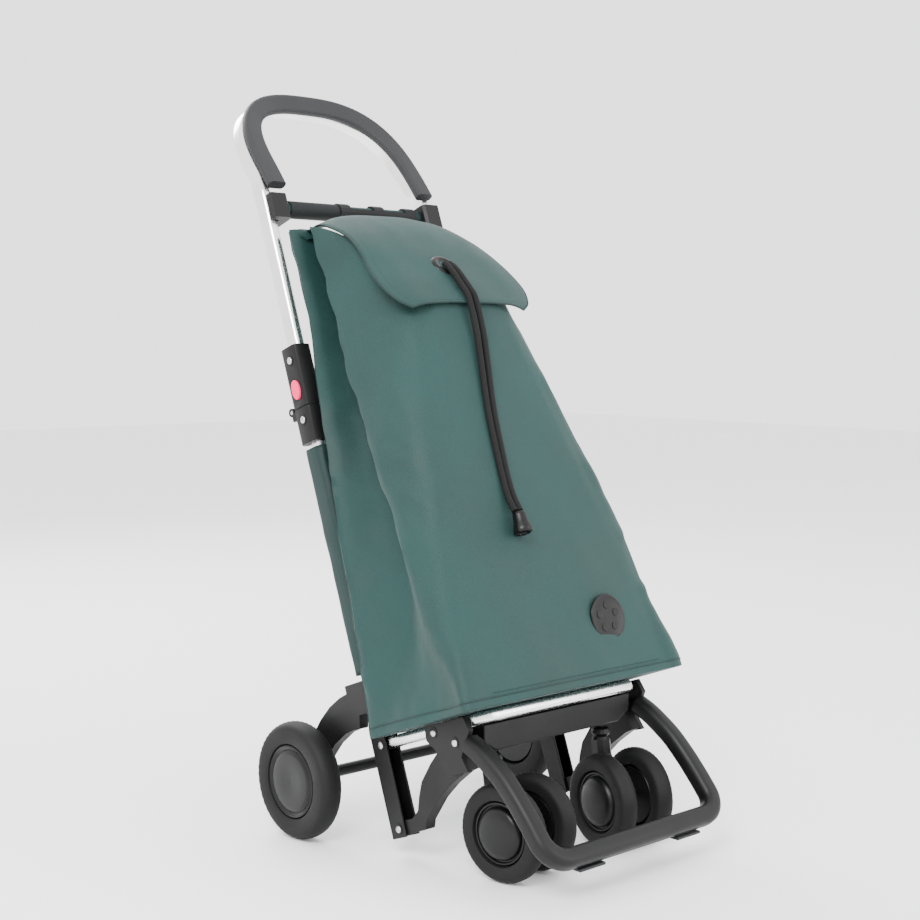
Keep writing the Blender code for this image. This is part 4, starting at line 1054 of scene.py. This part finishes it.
def build_wheel(tyre_node, hub_node, radius, width, rim, hub_profile, outward):
    """A smooth tyre with tread and a turned hub in place of a wheel's CAD nodes."""
    low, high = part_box(tyre_node)
    centre = (low + high) / 2
    centre.z = radius
    body = body_of(NODES[tyre_node])[0]
    axis = Vector(next(joint["axis"] for joint in JOINTS.values() if joint["child"] == body))
    name = tyre_node.replace("tyre", "rubber")
    outline = tyre_outline(radius, width, rim)
    zone = [index for index, (_, reach) in enumerate(outline) if reach > radius - TREAD_ZONE]
    blocks = tread(4, TREAD_DEPTH, zone)
    tyre = lathe(name, outline, 180, centre, axis, "tyre", body, blocks)
    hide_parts(tyre_node)
    profile = [(outward * x, r) for x, r in hub_profile]
    disc = hub_node.replace("hub", "disc")
    hub = lathe(disc, profile, 96, centre, axis, "hub_plastic", body)
    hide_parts(hub_node)


def build_wheels():
    """Rear wheels with flat grooved discs, castor wheels with domed discs."""
    rim = REAR_RIM - CLEARANCE
    profile = [(-0.012, 0.0052), (-0.012, rim - 0.003), (-0.008, rim), (0.010, rim),
               (0.0145, rim - 0.0005), (0.0155, rim - 0.003), (0.0142, rim - 0.005),
               (0.0128, rim - 0.007), (0.0150, rim - 0.010), (0.0158, rim - 0.014), (0.0150, 0.020),
               (0.0140, 0.0001), (0.0100, 0.0001), (0.0100, 0.0052)]
    for side, sign in SIDES:
        build_wheel(f"rear_tyre_{side}", f"rear_hub_{side}", REAR_RADIUS, REAR_WIDTH, REAR_RIM,
                    profile, sign)
    rim = CASTOR_RIM - CLEARANCE
    profile = [(-0.010, 0.0042), (-0.010, rim - 0.003), (-0.006, rim), (0.0075, rim),
               (0.0095, rim - 0.0015), (0.0095, rim - 0.0035), (0.0072, rim - 0.0048),
               (0.0070, rim - 0.0062), (0.0120, 0.0340), (0.0148, 0.0300), (0.0165, 0.0240),
               (0.0176, 0.0160), (0.0182, 0.0080), (0.0184, 0.0001), (0.0080, 0.0001), (0.0080, 0.0042)]
    for side, _ in SIDES:
        for way, sign in SIDES:
            build_wheel(f"castor_{side}_tyre_{way}", f"castor_{side}_hub_{way}", CASTOR_RADIUS,
                        CASTOR_WIDTH, CASTOR_RIM, profile, sign)


def finish_nodes():
    """Round the edges of the moulded parts and give the rest their materials."""
    edges = {"leg_channel": 0.0012, "side_bracket": 0.0028, "rear_arm": 0.0040, "hinge_socket": 0.0012,
             "hinge_head": 0.0012, "crossbar_clamp": 0.0030, "loop_pad": 0.0012}
    for stem, width in edges.items():
        for side, _ in SIDES:
            material = "grip" if stem == "loop_pad" else "black_plastic"
            soften(f"{stem}_{side}", width, material)
    soften("castor_carrier", 0.0022, "black_plastic")
    for side, _ in SIDES:
        soften(f"button_{side}", 0.0016, "button")
    plain = {"lower_post": "aluminium", "hinge_pin": "steel"}
    for stem, material in plain.items():
        for side, _ in SIDES:
            paint(f"{stem}_{side}", material)
    paint("crossbar", "trim")
    paint("strap_tabs", "webbing")
    paint("axle_tube", "black_plastic")
    for side, _ in SIDES:
        paint(f"castor_{side}_stem", "black_plastic")


def paint(node, material):
    """Give a CAD node a finished material."""
    for slot in NODES[node].material_slots:
        slot.material = MATERIALS[material]


# ---- studio ------------------------------------------------------------------------------
STUDIO_HALF = 9.0                   # half the side of the square floor
SKY_STRENGTH = 2.4
LIGHTS = (
    ("key", (-2.6, -1.6, 2.8), (0, 0, 0.5), 1.6, 190),
    ("fill", (1.6, -3.2, 1.8), (0, 0, 0.5), 2.2, 70),
    ("rim", (0.5, 2.6, 2.4), (0, 0, 0.6), 1.6, 110),
)


def area_light(name, place, target, size, power):
    """A square soft light that faces a target."""
    data = bpy.data.lights.new(name, "AREA")
    data.size = size
    data.energy = power
    light = bpy.data.objects.new(name, data)
    bpy.context.scene.collection.objects.link(light)
    light.location = place
    light.rotation_euler = (Vector(target) - Vector(place)).to_track_quat("-Z", "Y").to_euler()


def build_studio():
    """Wide pale floor under an even bright sky, with three soft lights."""
    floor = Graph("studio_floor", (0.90, 0.90, 0.90), 0.55)
    verts = [(x * STUDIO_HALF, y * STUDIO_HALF, 0.0) for x, y in ((-1, -1), (1, -1), (1, 1), (-1, 1))]
    mesh = bpy.data.meshes.new("studio_floor")
    mesh.from_pydata(verts, [], [(0, 1, 2, 3)])
    mesh.materials.append(floor.material)
    item = bpy.data.objects.new("studio_floor", mesh)
    bpy.context.scene.collection.objects.link(item)
    world_light = bpy.data.worlds.new("studio")
    world_light.use_nodes = True
    background = world_light.node_tree.nodes["Background"]
    background.inputs["Color"].default_value = (1.0, 1.0, 1.0, 1.0)
    background.inputs["Strength"].default_value = SKY_STRENGTH
    bpy.context.scene.world = world_light
    for light in LIGHTS:
        area_light(*light)


def main():
    add_camera()
    toggle = build_toggle()
    build_cords()
    build_bag()
    build_flap()
    build_grommet()
    build_badge()
    build_sleeves()
    build_label()
    build_rivets()
    build_handle()
    build_base()
    build_wheels()
    finish_nodes()
    build_studio()


main()
bpy.context.view_layer.update()
